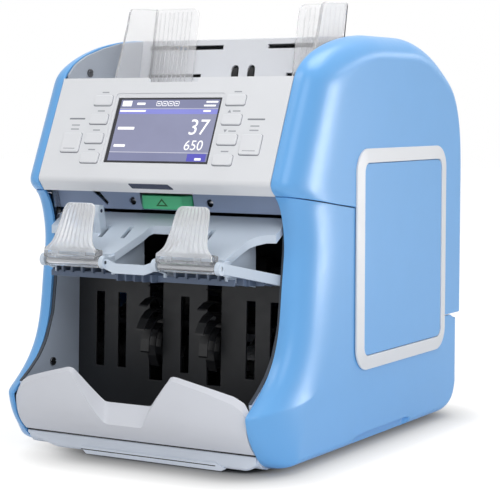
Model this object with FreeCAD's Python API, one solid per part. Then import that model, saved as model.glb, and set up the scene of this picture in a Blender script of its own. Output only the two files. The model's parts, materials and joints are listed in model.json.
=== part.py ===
import FreeCAD, Part
import math
import os

# Two-pocket banknote counter. Millimetres, +Z up, front faces -Y, origin on the floor under the middle.

# Widths, each measured from the middle plane
HALF_OPENING = 109.0
HALF_WIDTH = 131.0
LOWER_HALF_WIDTH = 130.4
PANEL_HALF = 108.6
LINER_INNER = 106.2
WALL = 2.5
GAP = 0.5

# Depths and heights of the casing, drawn from a line through the hopper; saving moves the middle to y = 0
MIDDLE_Y = -1.42
REAR_UPPER = 175.5
REAR_LOWER = 168.2
TOP = 333.0
FOOT_LINE = 4.6
CREASE_Y, CREASE_Z = -135.5, 217.0
PANEL_TOP_Y, PANEL_TOP_Z = -99.5, 298.3
SEAM_FRONT = (-128.0, 208.0)

# How far the cover draws in from its rim to its flat outer face
FRONT_DRAW = 60.0
TOP_DRAW = 22.0
REAR_DRAW = 13.0
FOOT_DRAW = 8.0

# How full the dished section is: 2 is an ellipse, more is squarer, less is flatter
FULL_PANEL = 2.6
FULL_WAIST = 3.0
FULL_TOE = 1.8
FULL_FOOT = 2.4

# Directions in which the shoulder curve leaves the top and arrives at the rear
SHOULDER_ENDS = ((0, 1, 0), (0, 0, -1))

# Bosses inside the covers, as (y, z), that stand on the frames
UPPER_BOSSES = ((-60.0, 260.0), (110.0, 285.0), (140.0, 140.0))
LOWER_BOSSES = ((-85.0, 40.0), (120.0, 40.0), (60.0, 95.0))
BOSS_RADIUS = 4.0

# Trim rings and side panels
RING_Y0, RING_Y1 = -39.0, 130.5
RING_Z0, RING_Z1 = 64.5, 242.0
RING_BAND = 11.5
RING_EDGE = 1.4
RING_RISE = 1.5
RING_RADIUS = 19.0

# Frame plates, inner and outer face of the right-hand ones
UPPER_FRAME_X0, UPPER_FRAME_X1 = 106.4, 108.4
SIDE_FRAME_X0, SIDE_FRAME_X1 = 109.2, 111.2
BASE_TOP = 10.5

# Control panel
PANEL_THICK = 3.0
PANEL_LENGTH = math.hypot(PANEL_TOP_Y - CREASE_Y, PANEL_TOP_Z - CREASE_Z)
PANEL_ANGLE = math.degrees(math.atan2(PANEL_TOP_Z - CREASE_Z, PANEL_TOP_Y - CREASE_Y))
PANEL_ORIGIN = (0.0, CREASE_Y, CREASE_Z)
SCREEN_HALF, SCREEN_LOW, SCREEN_HIGH = 49.0, 15.8, 71.8
BEZEL_HALF, BEZEL_LOW, BEZEL_HIGH = 51.5, 13.5, 75.5
SMALL_KEY = (17.2, 8.5)
SMALL_KEY_X = 62.6
SMALL_KEY_ROWS = (68.9, 52.6, 35.9, 19.0)
LARGE_KEY = (17.8, 16.5)
LARGE_KEY_X = 84.4
LARGE_KEY_ROW = 32.0
KEY_PLAY = 0.35
KEY_PROUD = 1.2
KEY_FLANGE_TOP = -PANEL_THICK - 0.1
BOARD_FACE = -8.2
MODULE_FACE = -3.2

# Hopper
HOPPER_ORIGIN = (0.0, 5.2, 301.5)
HOPPER_ANGLE = 78.4
HOPPER_PLATE_TOP = 31.2
HOPPER_PLATE_FOOT = -38.0
GUIDE_X = 94.5
GUIDE_INNER_X = 49.4
GUIDE_THICK = 2.4
GUIDE_FOOT, GUIDE_TOP = -7.5, 59.6
SLOT_V = 25.0
SLOT_HALF = 2.0
LOW_SLOT_V = 0.5
PINION_V = 21.5
PINION_RADIUS = 5.0
PINION_TEETH = 10
PINION_PIN_RADIUS = 1.5
RACK_BACK, RACK_FRONT = -8.0, -4.2
KICKER_X, KICKER_RADIUS, KICKER_WIDTH = 8.0, 8.8, 5.4
KICKER_PLACE = (LOW_SLOT_V, -7.0)
KICKER_WINDOW = (3.6, -9.0, 9.2)

# Hinge of the upper unit, latch and lever
HINGE = (168.0, 105.0)
HINGE_PIN_RADIUS = 2.5
LATCH = (-104.0, 201.0)
LATCH_RADIUS = 3.0
RUNNING = 0.06

# Reject pocket
TRAY_ANCHOR = (-110.0, 185.4)
TRAY_SLOPE = 0.593
TRAY_THICK = 2.5
TRAY_FRONT, TRAY_REAR = -152.0, -108.0
RIM_THICK, RIM_DEPTH = 1.5, 6.5
FINGER_PIVOT = (-162.0, 155.0)
FINGER_X = 52.9
FINGER_ANGLE = 79.2
FINGER_PIN_RADIUS = 2.0

# Stacker pocket
STACKER_AXLE = (-70.0, 98.0)
WHEEL_RADIUS = 38.0
WHEEL_X = 28.0
WHEEL_WIDTH = 8.0
WHEEL_BLADES = 12
SEAM_Z = 14.0
LOBE_Z, LOBE_X, LOBE_Y = 73.4, 47.5, -179.5
NOTCH_Z, NOTCH_X = 46.5, 22.0
END_Z = 54.0

# Drive and note path
PATH_FRONT = (-40.0, 184.0)
PATH_REAR = (118.0, 80.0)
PATH_GAP = 2.6
SHAFT_RADIUS = 4.0
TRANSPORT = (14.2, 135.7)
TRANSPORT_RADIUS = 12.0
FEED = (24.0, 262.0)
FEED_RADIUS = 13.0
GATE = (-72.0, 181.5)
GATE_RADIUS = 2.5
MOTOR = (-10.0, 60.0)
BELT_X0, BELT_X1 = -119.0, -113.0
BELT_THICK = 1.6
STACKER_PULLEY = 16.0
TRANSPORT_PULLEY = 12.0
MOTOR_PULLEY = 9.0
SENSOR_SHARE = 0.68
SENSOR_HALF = 0.045

# Rear of the lower unit
INLET_X, INLET_Z = -72.0, 38.0
ROCKER_Z = 66.0
ROCKER_AXLE_RADIUS = 1.2
REAR_FACE = 165.5

V = FreeCAD.Vector


def box(x0, x1, y0, y1, z0, z1):
    return Part.makeBox(x1 - x0, y1 - y0, z1 - z0, V(x0, y0, z0))


def rod(y, z, radius, x0, x1):
    """Cylinder along X."""
    return Part.makeCylinder(radius, x1 - x0, V(x0, y, z), V(1, 0, 0))


def side_prism(points, x0, x1):
    """Polygon of (y, z) points carried along X."""
    corners = [V(x0, y, z) for y, z in points]
    return Part.Face(Part.makePolygon(corners + corners[:1])).extrude(V(x1 - x0, 0, 0))


def front_prism(points, y0, y1):
    """Polygon of (x, z) points carried along Y."""
    corners = [V(x, y0, z) for x, z in points]
    return Part.Face(Part.makePolygon(corners + corners[:1])).extrude(V(0, y1 - y0, 0))


def flat_prism(points, z0, z1):
    """Polygon of (x, y) points carried along Z."""
    corners = [V(x, y, z0) for x, y in points]
    return Part.Face(Part.makePolygon(corners + corners[:1])).extrude(V(0, 0, z1 - z0))


def rounded_plate(x0, x1, y0, y1, z0, z1, radius):
    """Plate in the X-Y plane with round corners."""
    plate = box(x0, x1, y0, y1, z0, z1)
    upright = [edge for edge in plate.Edges if abs(edge.tangentAt(edge.FirstParameter).z) > 0.9]
    return plate.makeFillet(radius, upright)


def bent_sheet(points, thickness, x0, x1):
    """Sheet of even thickness on the left of a bent (y, z) line, carried along X."""
    normals = []
    for (y0, z0), (y1, z1) in zip(points, points[1:]):
        length = math.hypot(y1 - y0, z1 - z0)
        normals.append((-(z1 - z0) / length, (y1 - y0) / length))
    before = normals[:1] + normals
    after = normals + normals[-1:]
    shifted = []
    for (y, z), (ay, az), (by, bz) in zip(points, before, after):
        reach = thickness / (1.0 + ay * by + az * bz)
        shifted.append((y + (ay + by) * reach, z + (az + bz) * reach))
    return side_prism(points + shifted[::-1], x0, x1)


def tilted(shape, origin, angle):
    """Turn a shape drawn in the X-Y plane about X and set it at an origin."""
    turned = shape.copy()
    turned.rotate(V(0, 0, 0), V(1, 0, 0), angle)
    turned.translate(V(*origin))
    return turned


def on_panel(shape):
    return tilted(shape, PANEL_ORIGIN, PANEL_ANGLE)


def on_hopper(shape):
    return tilted(shape, HOPPER_ORIGIN, HOPPER_ANGLE)


def mirrored(shape):
    return shape.mirror(V(0, 0, 0), V(1, 0, 0))


def both_sides(shape):
    return [shape, mirrored(shape)]


def joined(solids):
    return solids[0].fuse(solids[1:]).removeSplitter()


def cut_by(solid, tools):
    return solid.cut(Part.makeCompound(tools))


def save(name, *solids):
    shape = solids[0].copy() if len(solids) == 1 else Part.makeCompound(list(solids))
    shape.translate(V(0, -MIDDLE_Y, 0))
    shape.exportStep(os.path.join("parts", name + ".step"))


def smooth_edge(points, start, end):
    """Curve through points that leaves and arrives along given directions."""
    curve = Part.BSplineCurve()
    span = (points[-1] - points[0]).Length
    curve.interpolate(Points=points, InitialTangent=V(*start) * span, FinalTangent=V(*end) * span)
    return curve.toShape()


# Side covers

def rear_curve(rear):
    """Shoulder from the flat top to the upright rear, with its draw."""
    return [
        (66, TOP, 0, -TOP_DRAW, 2),
        (91, 330, -4, -21, 2),
        (117, 321.5, -7, -19, 2),
        (141, 308, -9, -16, 2),
        (rear - 18, 294.5, -11, -12, 2),
        (rear - 7.5, 275, -12, -9, 2),
        (rear - 1.5, 248, -REAR_DRAW, -3, 2),
        (rear, 212, -REAR_DRAW, 0, 2),
    ]


def cover_outline(rear):
    """Edges of a cover's rim: points of y, z, draw in y and z and fullness, and end directions of curves."""
    crease = (CREASE_Y, CREASE_Z, FRONT_DRAW, 0, FULL_PANEL)
    panel_top = (PANEL_TOP_Y, PANEL_TOP_Z, 50, -12, FULL_PANEL)
    top_front = (14.5, TOP, 0, -TOP_DRAW, 2)
    rear_low = (rear, 34, -REAR_DRAW, 0, 2)
    foot_rear = (rear - 40, FOOT_LINE, 0, FOOT_DRAW, FULL_FOOT)
    foot_front = (-137, 3.4, 10, FOOT_DRAW, FULL_FOOT)
    peak = (-172.3, 46.5, FRONT_DRAW, 7, FULL_TOE)
    seam = (SEAM_FRONT[0], SEAM_FRONT[1], FRONT_DRAW, 0, FULL_PANEL)
    brow = [(-86.5, 310.4, 38, -16, 2.2), (-70, 318.4, 28, -19, 2), (-22, 330.2, 6, -TOP_DRAW, 2)]
    heel = [(rear - 4, 21, -10, 5, 2), (rear - 12, 12.8, -6, 7, 2.4)]
    toe = [(-148.2, 8.2, 22, 8, 2), (-157, 16.8, 34, 7, FULL_TOE), (-165.1, 27.6, 46, 6, FULL_TOE)]
    toe.append((-170.2, 39.2, 55, 6, FULL_TOE))
    waist = [(-152.5, 60.7, FRONT_DRAW, 0, 2.2), (-131.8, 83, FRONT_DRAW, 0, 2.7)]
    for y, z in ((-122.5, 107), (-117.5, 142), (-114.5, 166), (-117.5, 190)):
        waist.append((y, z, FRONT_DRAW, 0, FULL_WAIST))
    shoulder = rear_curve(rear)
    lip = [seam, (-133.2, 211.6, FRONT_DRAW, 0, FULL_PANEL), crease]
    return [
        ([crease, panel_top], None),
        ([panel_top] + brow + [top_front], ((0, 0.5, 0.86), (0, 1, 0))),
        ([top_front, shoulder[0]], None),
        (shoulder, SHOULDER_ENDS),
        ([shoulder[-1], rear_low], None),
        ([rear_low] + heel + [foot_rear], ((0, 0, -1), (0, -1, 0))),
        ([foot_rear, foot_front], None),
        ([foot_front] + toe + [peak], ((0, -0.96, 0.3), (0, -0.3, 0.96))),
        ([peak] + waist + [seam], ((0, 0.82, 0.57), (0, -0.8, 0.6))),
        (lip, ((0, -0.8, 0.6), (0, 0.3, 0.95))),
    ]


def cover_ring(rear, x, step, inset):
    """Rim outline at one x, drawn in by its superelliptical section plus an even inset."""
    edges = []
    for stretch, ends in cover_outline(rear):
        points = []
        for y, z, draw_y, draw_z, full in stretch:
            reach = math.hypot(draw_y, draw_z)
            depth = 1.0 - (1.0 - step ** full) ** (1.0 / full)
            share = inset / reach + depth * (reach - inset) / reach
            points.append(V(x, y + draw_y * share, z + draw_z * share))
        if ends is None:
            edges.append(Part.LineSegment(points[0], points[1]).toShape())
        else:
            edges.append(smooth_edge(points, *ends))
    return Part.Wire(edges)


def dish(rear, outer_x, inset):
    """Dished solid from the rim plane out to the flat face."""
    rings = []
    if inset:
        rings.append(cover_ring(rear, HALF_OPENING - 1.0, 0.0, inset))
    for step in (0.0, 0.35, 0.6, 0.8, 0.92, 0.98, 1.0):
        x = HALF_OPENING + step * (outer_x - inset - HALF_OPENING)
        rings.append(cover_ring(rear, x, step, inset))
    return Part.makeLoft(rings, True, False)


def cover_shell(rear, outer_x):
    return dish(rear, outer_x, 0.0).cut(dish(rear, outer_x, WALL))


def seam_line(shift):
    """Parting line of the covers, front to rear, moved up by a shift."""
    return [(-190, 216.5 + shift), (-40, 196 + shift), (118, 92 + shift), (190, 92 + shift)]


def cover_bosses(places, x0, x1):
    """Posts from a frame plate out to the inside of a cover."""
    return [rod(y, z, BOSS_RADIUS, x0, x1 - WALL / 2) for y, z in places]


def upper_cover_right():
    above = seam_line(GAP) + [(190, 350), (-190, 350)]
    shell = cover_shell(REAR_UPPER, HALF_WIDTH).common(side_prism(above, 105, 140))
    return shell.fuse(cover_bosses(UPPER_BOSSES, UPPER_FRAME_X1, HALF_WIDTH))


def lower_cover_right():
    seam = seam_line(-GAP)[:3] + [(150, 91.5), (158, 88), (190, 88)]
    below = seam + [(190, -10), (-190, -10)]
    hand_hold = rounded_plate(-45, 63, 0, 40, 0, 14, 6)
    hand_hold.rotate(V(0, 0, 0), V(1, 0, 0), 90)
    hand_hold.rotate(V(0, 0, 0), V(0, 0, 1), 90)
    hand_hold.translate(V(125.5, 0, -26))
    shell = cover_shell(REAR_LOWER, LOWER_HALF_WIDTH).common(side_prism(below, 105, 140)).cut(hand_hold)
    return shell.fuse(cover_bosses(LOWER_BOSSES, SIDE_FRAME_X1, LOWER_HALF_WIDTH))


# Side panels with their trim rings, carried by the upper covers

def ring_outline(inset, x):
    """Rounded rectangle on the side of the casing."""
    ends_y = (RING_Y0 + inset, RING_Y1 - inset)
    ends_z = (RING_Z0 + inset, RING_Z1 - inset)
    plate = rounded_plate(*ends_y, *ends_z, 0, 1, RING_RADIUS - inset)
    face = [face for face in plate.Faces if abs(face.CenterOfMass.z) < 1e-6][0]
    outline = face.OuterWire.copy()
    outline.rotate(V(0, 0, 0), V(1, 0, 0), 90)
    outline.rotate(V(0, 0, 0), V(0, 0, 1), 90)
    outline.translate(V(x, 0, 0))
    return outline


def trim_ring_right():
    edge = HALF_WIDTH + RING_EDGE
    plate = Part.Face(ring_outline(0, HALF_WIDTH)).extrude(V(RING_EDGE, 0, 0))
    slope = Part.makeLoft([ring_outline(0, edge), ring_outline(RING_BAND, edge + RING_RISE)], True, True)
    inner = Part.Face(ring_outline(RING_BAND, HALF_WIDTH - 1)).extrude(V(20, 0, 0))
    return plate.fuse(slope).cut(inner).removeSplitter()


def side_panel_right():
    panel = Part.Face(ring_outline(RING_BAND + 0.3, HALF_WIDTH)).extrude(V(RING_EDGE + 1.0, 0, 0))
    return panel


# Control panel, display and keys

def key_places():
    """Names, sizes and places of all keys on the panel."""
    places = []
    for side, sign in (("left", -1), ("right", 1)):
        for number, row in enumerate(SMALL_KEY_ROWS, 1):
            places.append(("small_key_%s_%d" % (side, number), SMALL_KEY, sign * SMALL_KEY_X, row))
        places.append(("large_key_" + side, LARGE_KEY, sign * LARGE_KEY_X, LARGE_KEY_ROW))
    return places


def key_block(size, x, row, grow, w0, w1, radius):
    half_u = size[0] / 2 + grow
    half_v = size[1] / 2 + grow
    return rounded_plate(x - half_u, x + half_u, row - half_v, row + half_v, w0, w1, radius)


def control_panel():
    line = [(-127.6, 207.8), (CREASE_Y, CREASE_Z), (PANEL_TOP_Y, PANEL_TOP_Z)]
    sheet = bent_sheet(line[::-1], PANEL_THICK, -PANEL_HALF, PANEL_HALF)
    crease = [edge for edge in sheet.Edges if edge.Length > 200 and edge.distToShape(
        Part.Vertex(0, CREASE_Y, CREASE_Z))[0] < 0.01]
    sheet = sheet.makeFillet(5.0, crease)
    tools = [box(-SCREEN_HALF, SCREEN_HALF, SCREEN_LOW, SCREEN_HIGH, -10, 5)]
    tools.append(rounded_plate(-BEZEL_HALF, BEZEL_HALF, BEZEL_LOW, BEZEL_HIGH, -0.8, 5, 2.5))
    for name, size, x, row in key_places():
        tools.append(key_block(size, x, row, KEY_PLAY, -10, 5, 1.6))
    scoop = [(-26, PANEL_LENGTH + 5), (-23, PANEL_LENGTH - 4), (23, PANEL_LENGTH - 4), (26, PANEL_LENGTH + 5)]
    tools.append(flat_prism(scoop, -10, 5))
    return cut_by(sheet, [on_panel(tool) for tool in tools])


def display_lens():
    """Lens in the panel's window, lying on the display module."""
    play = 0.3
    half = SCREEN_HALF - play
    return on_panel(box(-half, half, SCREEN_LOW + play, SCREEN_HIGH - play, MODULE_FACE, -1.2))


def display_board():
    """Circuit board with the display module in front and a driver chip behind."""
    board = box(-100, 100, 6, 82, BOARD_FACE - 1.6, BOARD_FACE)
    module = box(-50.5, 50.5, 12, 76, BOARD_FACE, MODULE_FACE)
    chip = box(-20, 12, 30, 54, BOARD_FACE - 4.2, BOARD_FACE - 1.6)
    return on_panel(joined([board, module, chip]))


def key(size, x, row):
    """Key cap with its retaining flange and its plunger."""
    cap = key_block(size, x, row, 0.0, KEY_FLANGE_TOP, KEY_PROUD, 1.4)
    top = [edge for edge in cap.Edges if abs(edge.CenterOfMass.z - KEY_PROUD) < 1e-6]
    cap = cap.makeFillet(0.7, top)
    half_u = size[0] / 2
    half_v = size[1] / 2 + 1.5
    flange = box(x - half_u, x + half_u, row - half_v, row + half_v, KEY_FLANGE_TOP - 1.0, KEY_FLANGE_TOP)
    plunger = Part.makeCylinder(2.0, 3.0, V(x, row, KEY_FLANGE_TOP - 3.8))
    return on_panel(joined([cap, flange, plunger]))


# Hopper

def hopper_back_plate():
    """Sloping plate with slots for the guides, windows for the kicker and the pinion's stub pin."""
    plate = box(-UPPER_FRAME_X0, UPPER_FRAME_X0, HOPPER_PLATE_FOOT, HOPPER_PLATE_TOP, -WALL, 0)
    pin = Part.makeCylinder(PINION_PIN_RADIUS, -RACK_BACK, V(0, PINION_V, RACK_BACK - 1))
    tools = []
    for sign in (-1, 1):
        ends = sorted((sign * 22, sign * 98))
        tools.append(box(ends[0], ends[1], SLOT_V - SLOT_HALF, SLOT_V + SLOT_HALF, -10, 5))
        ends = sorted((sign * 42, sign * 98))
        tools.append(box(ends[0], ends[1], LOW_SLOT_V - 1.5, LOW_SLOT_V + 1.5, -10, 5))
        x = sign * KICKER_X
        half, low, high = KICKER_WINDOW
        tools.append(rounded_plate(x - half, x + half, low, high, -10, 5, half - 0.1))
    return on_hopper(cut_by(plate, tools).fuse(pin))


def hopper_floor():
    line = [(-9.5, 256.0), (-9.5, 268.0), (-95.5, 293.5)]
    return bent_sheet(line, 2.0, -UPPER_FRAME_X0, UPPER_FRAME_X0)


def hopper_cheek_right():
    brow = [(-95.5, 301.5), (-86.5, 309.7), (-78, 314.3), (-70, 317.8), (-46, 324.6), (-22, 329.6)]
    outline = [(-95.5, 289)] + brow + [(12.5, 332.4), (3.5, 296), (1.8, 289)]
    return side_prism(outline, UPPER_FRAME_X0, UPPER_FRAME_X1)


def hopper_screws():
    """Pan heads on the cheeks."""
    head = rod(-67.1, 303.4, 3.4, LINER_INNER - 1.4, LINER_INNER + 0.2)
    slot = box(LINER_INNER - 2, LINER_INNER - 0.8, -70.6, -63.6, 303.0, 303.8)
    return both_sides(head.cut(slot))


def top_rear_cover():
    """White sheet over the top and down the rear, between the side covers."""
    outer = [V(-PANEL_HALF, y, z) for y, z, *_ in rear_curve(REAR_UPPER)]
    shoulder = smooth_edge(outer, *SHOULDER_ENDS)
    inner = []
    for point in outer:
        along = shoulder.tangentAt(shoulder.Curve.parameter(point))
        inner.append(point + V(0, along.z, -along.y) * WALL)
    lip, foot = V(-PANEL_HALF, 14.5, TOP), V(-PANEL_HALF, REAR_UPPER, 93)
    inner_foot, inner_lip = foot - V(0, WALL, 0), lip - V(0, 0, WALL)
    back = smooth_edge(inner[::-1], (0, 0, 1), (0, -1, 0))
    edges = [Part.LineSegment(lip, outer[0]).toShape(), shoulder, Part.LineSegment(outer[-1], foot).toShape()]
    edges.append(Part.LineSegment(foot, inner_foot).toShape())
    edges.append(Part.LineSegment(inner_foot, inner[-1]).toShape())
    edges.append(back)
    edges.append(Part.LineSegment(inner[0], inner_lip).toShape())
    edges.append(Part.LineSegment(inner_lip, lip).toShape())
    return Part.Face(Part.Wire(edges)).extrude(V(2 * PANEL_HALF, 0, 0))


def rack_teeth(v, towards, x0, x1):
    """Straight teeth along X, centred on gaps at x = 0, pointing up or down."""
    pitch = 2 * math.pi * PINION_RADIUS / PINION_TEETH
    teeth = []
    place = x0 + pitch / 2 - (x0 % pitch)
    while place < x1 - pitch / 2:
        base, tip = 0.30 * pitch, 0.12 * pitch
        low, high = v - towards * 1.2, v + towards * 0.7
        outline = [(place - base, low), (place + base, low), (place + tip, high), (place - tip, high)]
        teeth.append(flat_prism(outline, RACK_BACK, RACK_FRONT))
        place += pitch
    return teeth


def hopper_guide_left():
    """Clear L-shaped guide with its tabs through the back plate and the upper rack."""
    parts = guide_body(-1)
    rack_v = PINION_V + PINION_RADIUS
    parts.append(box(-90, 8, rack_v + 1.1, rack_v + 3.1, RACK_BACK, RACK_FRONT))
    parts.append(box(-90, -72, SLOT_V - 1.4, rack_v + 3.1, RACK_BACK, RACK_FRONT))
    return on_hopper(joined(parts + rack_teeth(rack_v, -1, -60, 8)))


def hopper_guide_right():
    """Clear L-shaped guide with its tabs through the back plate and the lower rack."""
    parts = guide_body(1)
    rack_v = PINION_V - PINION_RADIUS
    parts.append(box(-8, 90, rack_v - 3.1, rack_v - 1.1, RACK_BACK, RACK_FRONT))
    parts.append(box(72, 90, rack_v - 3.1, SLOT_V + 1.4, RACK_BACK, RACK_FRONT))
    return on_hopper(joined(parts + rack_teeth(rack_v, 1, -8, 60)))


def guide_body(sign):
    """Back face, side wall and tabs of a guide, drawn flat on the hopper plate."""
    lift = 0.4
    outer, inner = sign * GUIDE_X, sign * GUIDE_INNER_X
    ends = sorted((outer, inner))
    back = box(ends[0], ends[1], GUIDE_FOOT, GUIDE_TOP, lift, lift + GUIDE_THICK)
    round_corner = [edge for edge in back.Edges if abs(edge.CenterOfMass.x - inner) < 1e-6
                    and abs(edge.CenterOfMass.y - GUIDE_TOP) < 1e-6]
    back = back.makeFillet(7.0, round_corner)
    wall = [(lift, GUIDE_FOOT), (lift, GUIDE_TOP), (41.2, 49.8), (43.4, 31.4), (52.3, -14.7), (52, -18)]
    corners = [V(outer, v, w) for w, v in wall]
    side = Part.Face(Part.makePolygon(corners + corners[:1])).extrude(V(-sign * GUIDE_THICK, 0, 0))
    ends = sorted((sign * 72, sign * 90))
    high_tab = box(ends[0], ends[1], SLOT_V - 1.4, SLOT_V + 1.4, RACK_BACK, lift + 0.5)
    low_tab = box(ends[0], ends[1], LOW_SLOT_V - 1.0, LOW_SLOT_V + 1.0, -WALL - 1, lift + 0.5)
    return [back, side, high_tab, low_tab]


def guide_pinion():
    """Toothed wheel on a stub pin, between the two racks."""
    root, crown = PINION_RADIUS - 0.9, PINION_RADIUS + 0.7
    pitch = 2 * math.pi * PINION_RADIUS / PINION_TEETH
    base, tip = 0.26 * pitch, 0.12 * pitch
    body = Part.makeCylinder(root, RACK_FRONT - RACK_BACK, V(0, 0, RACK_BACK))
    teeth = []
    for number in range(PINION_TEETH):
        outline = [(root - 0.5, -base), (crown, -tip), (crown, tip), (root - 0.5, base)]
        tooth = flat_prism(outline, RACK_BACK, RACK_FRONT)
        tooth.rotate(V(0, 0, 0), V(0, 0, 1), 90 + 360.0 * number / PINION_TEETH)
        teeth.append(tooth)
    bore = Part.makeCylinder(PINION_PIN_RADIUS + RUNNING, 20, V(0, 0, RACK_BACK - 5))
    wheel = joined([body] + teeth).cut(bore)
    wheel.translate(V(0, PINION_V, 0))
    return on_hopper(wheel)


def roller_shaft(place, shaft_radius, roller_radius, width, stations, reach):
    """Shaft along X with rollers at the given stations."""
    parts = [rod(place[0], place[1], shaft_radius, -reach, reach)]
    for x in stations:
        roller = rod(place[0], place[1], roller_radius, x - width / 2, x + width / 2)
        rims = [edge for edge in roller.Edges if edge.Curve.TypeId == "Part::GeomCircle"]
        parts.append(roller.makeChamfer(0.8, rims))
    return joined(parts)


def kicker_place():
    """Centre of the kicker shaft in (y, z)."""
    turn = math.radians(HOPPER_ANGLE)
    v, w = KICKER_PLACE
    return (HOPPER_ORIGIN[1] + v * math.cos(turn) - w * math.sin(turn),
            HOPPER_ORIGIN[2] + v * math.sin(turn) + w * math.cos(turn))


# Frames

def upper_frame_right():
    """Plate that carries the panel, the hopper, the top cover and the feed shafts, with the hinge ear."""
    front = [(-98, 193.2), (-114.5, 193.2), (-118.5, 207), (-125, 212), (-129.1, 224), (-102.5, 284)]
    top = [(-98, 286), (5, 286), (13.5, 330.45), (62, 330.45), (95, 317), (130, 296), (154, 270)]
    rear = [(165, 245), (170, 212), (170, 110), (160, 99), (112, 97), (-40, 198)]
    plate = side_prism(front + top + rear, UPPER_FRAME_X0, UPPER_FRAME_X1)
    ear = rod(HINGE[0], HINGE[1], 4.6, UPPER_FRAME_X0, UPPER_FRAME_X1)
    holes = [rod(HINGE[0], HINGE[1], HINGE_PIN_RADIUS + RUNNING, 100, 115)]
    holes.append(rod(LATCH[0], LATCH[1], LATCH_RADIUS + RUNNING, 100, 115))
    holes.append(rod(FEED[0], FEED[1], SHAFT_RADIUS + RUNNING, 100, 115))
    holes.append(rod(kicker_place()[0], kicker_place()[1], LATCH_RADIUS + RUNNING, 100, 115))
    return cut_by(joined([plate, ear]), holes)


def side_frame_right():
    """Plate that carries the lower shafts and the hinge pin, with a flange on the base."""
    outline = [(-100, 14), (-100, 190), (-40, 186), (118, 82), (146, 82), (158, 104), (168, 109.6),
               (172, 103), (165, 100), (156, 86), (156, 40), (146, 17), (138, BASE_TOP), (-95, BASE_TOP)]
    x0, x1 = SIDE_FRAME_X0, SIDE_FRAME_X1
    plate = side_prism(outline, x0, x1)
    flange = box(101, x1, -95, 138, BASE_TOP, BASE_TOP + 2)
    ear = rod(HINGE[0], HINGE[1], 4.5, x0, x1)
    striker = rod(-97, 186, 2.5, x0, x1 + 5)
    striker_ear = side_prism([(-100, 180), (-100, 190), (-92, 190), (-92, 180)], x0, x1)
    holes = [rod(HINGE[0], HINGE[1], HINGE_PIN_RADIUS, 105, 120)]
    for place, radius in ((STACKER_AXLE, SHAFT_RADIUS), (TRANSPORT, SHAFT_RADIUS), (GATE, GATE_RADIUS)):
        holes.append(rod(place[0], place[1], radius + RUNNING, 105, 120))
    windows = [rod(-20, 118, 17, 105, 120), rod(70, 60, 17, 105, 120)]
    return cut_by(joined([plate, flange, ear, striker_ear, striker]), holes + windows)


def side_frames():
    """Both frames; the left one also has the motor's opening."""
    left = mirrored(side_frame_right()).cut(rod(MOTOR[0], MOTOR[1], 9.0, -120, -105))
    return [side_frame_right(), left]


def pivot_pins():
    """Hinge pins of the upper unit and pins of the two reject fingers."""
    hinge = rod(HINGE[0], HINGE[1], HINGE_PIN_RADIUS, 104, 112.5)
    cap = rod(HINGE[0], HINGE[1], 4.0, SIDE_FRAME_X1, SIDE_FRAME_X1 + 2)
    finger = rod(FINGER_PIVOT[0], FINGER_PIVOT[1], FINGER_PIN_RADIUS, FINGER_X - 29.5, FINGER_X + 29.5)
    return both_sides(joined([hinge, cap])) + both_sides(finger)


# Grey strip, release lever and latch

def front_strip():
    line = [(-101, 193), (-108.3, 193), (-113.5, 210.5)]
    sheet = bent_sheet(line[::-1], 2.0, -UPPER_FRAME_X0, UPPER_FRAME_X0)
    lever_gap = box(-25, 25, -130, -104.5, 190, 215)
    holes = []
    for x in (-33, 40):
        holes.append(Part.makeCylinder(3.2, 30, V(x, -130, 200), V(0, 1, 0)))
    notch = [(-72, 207.5), (-65, 207.5), (-57, 198.5), (-59, 195.8), (-65, 202)]
    holes.append(front_prism(notch, -130, -100))
    return cut_by(sheet, [lever_gap] + holes)


def release_lever():
    """Green pull with its sleeve round the latch shaft."""
    outline = [(-117, 194.2), (-118.4, 205.5), (-104, 206), (-99.5, 201), (-104, 196.5)]
    plan = [(18, -119), (24, -110.5), (24, -98), (-24, -98), (-24, -110.5), (-18, -119)]
    block = side_prism(outline, -24, 24).common(flat_prism(plan, 180, 220))
    front = [edge for edge in block.Edges if edge.CenterOfMass.y < -116.5]
    block = block.makeFillet(1.0, front)
    return block.cut(rod(LATCH[0], LATCH[1], LATCH_RADIUS, -30, 30))


def latch_shaft():
    """Shaft with a flat hook beside each striker; the hooks have no undercut."""
    outline = [(-107.5, 203.5), (-100.5, 203.5), (-100.5, 186), (-104.5, 183.5), (-107.5, 190)]
    hook = side_prism(outline, 112.2, 115.2)
    hook = hook.cut(rod(-97, 186, 3.2, 105, 120))
    return joined([rod(LATCH[0], LATCH[1], LATCH_RADIUS, -115.2, 115.2)] + both_sides(hook))


# Reject pocket

def tray_height(y):
    """Height of the sloping top of the reject tray."""
    return TRAY_ANCHOR[1] + (y - TRAY_ANCHOR[0]) * TRAY_SLOPE


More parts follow.
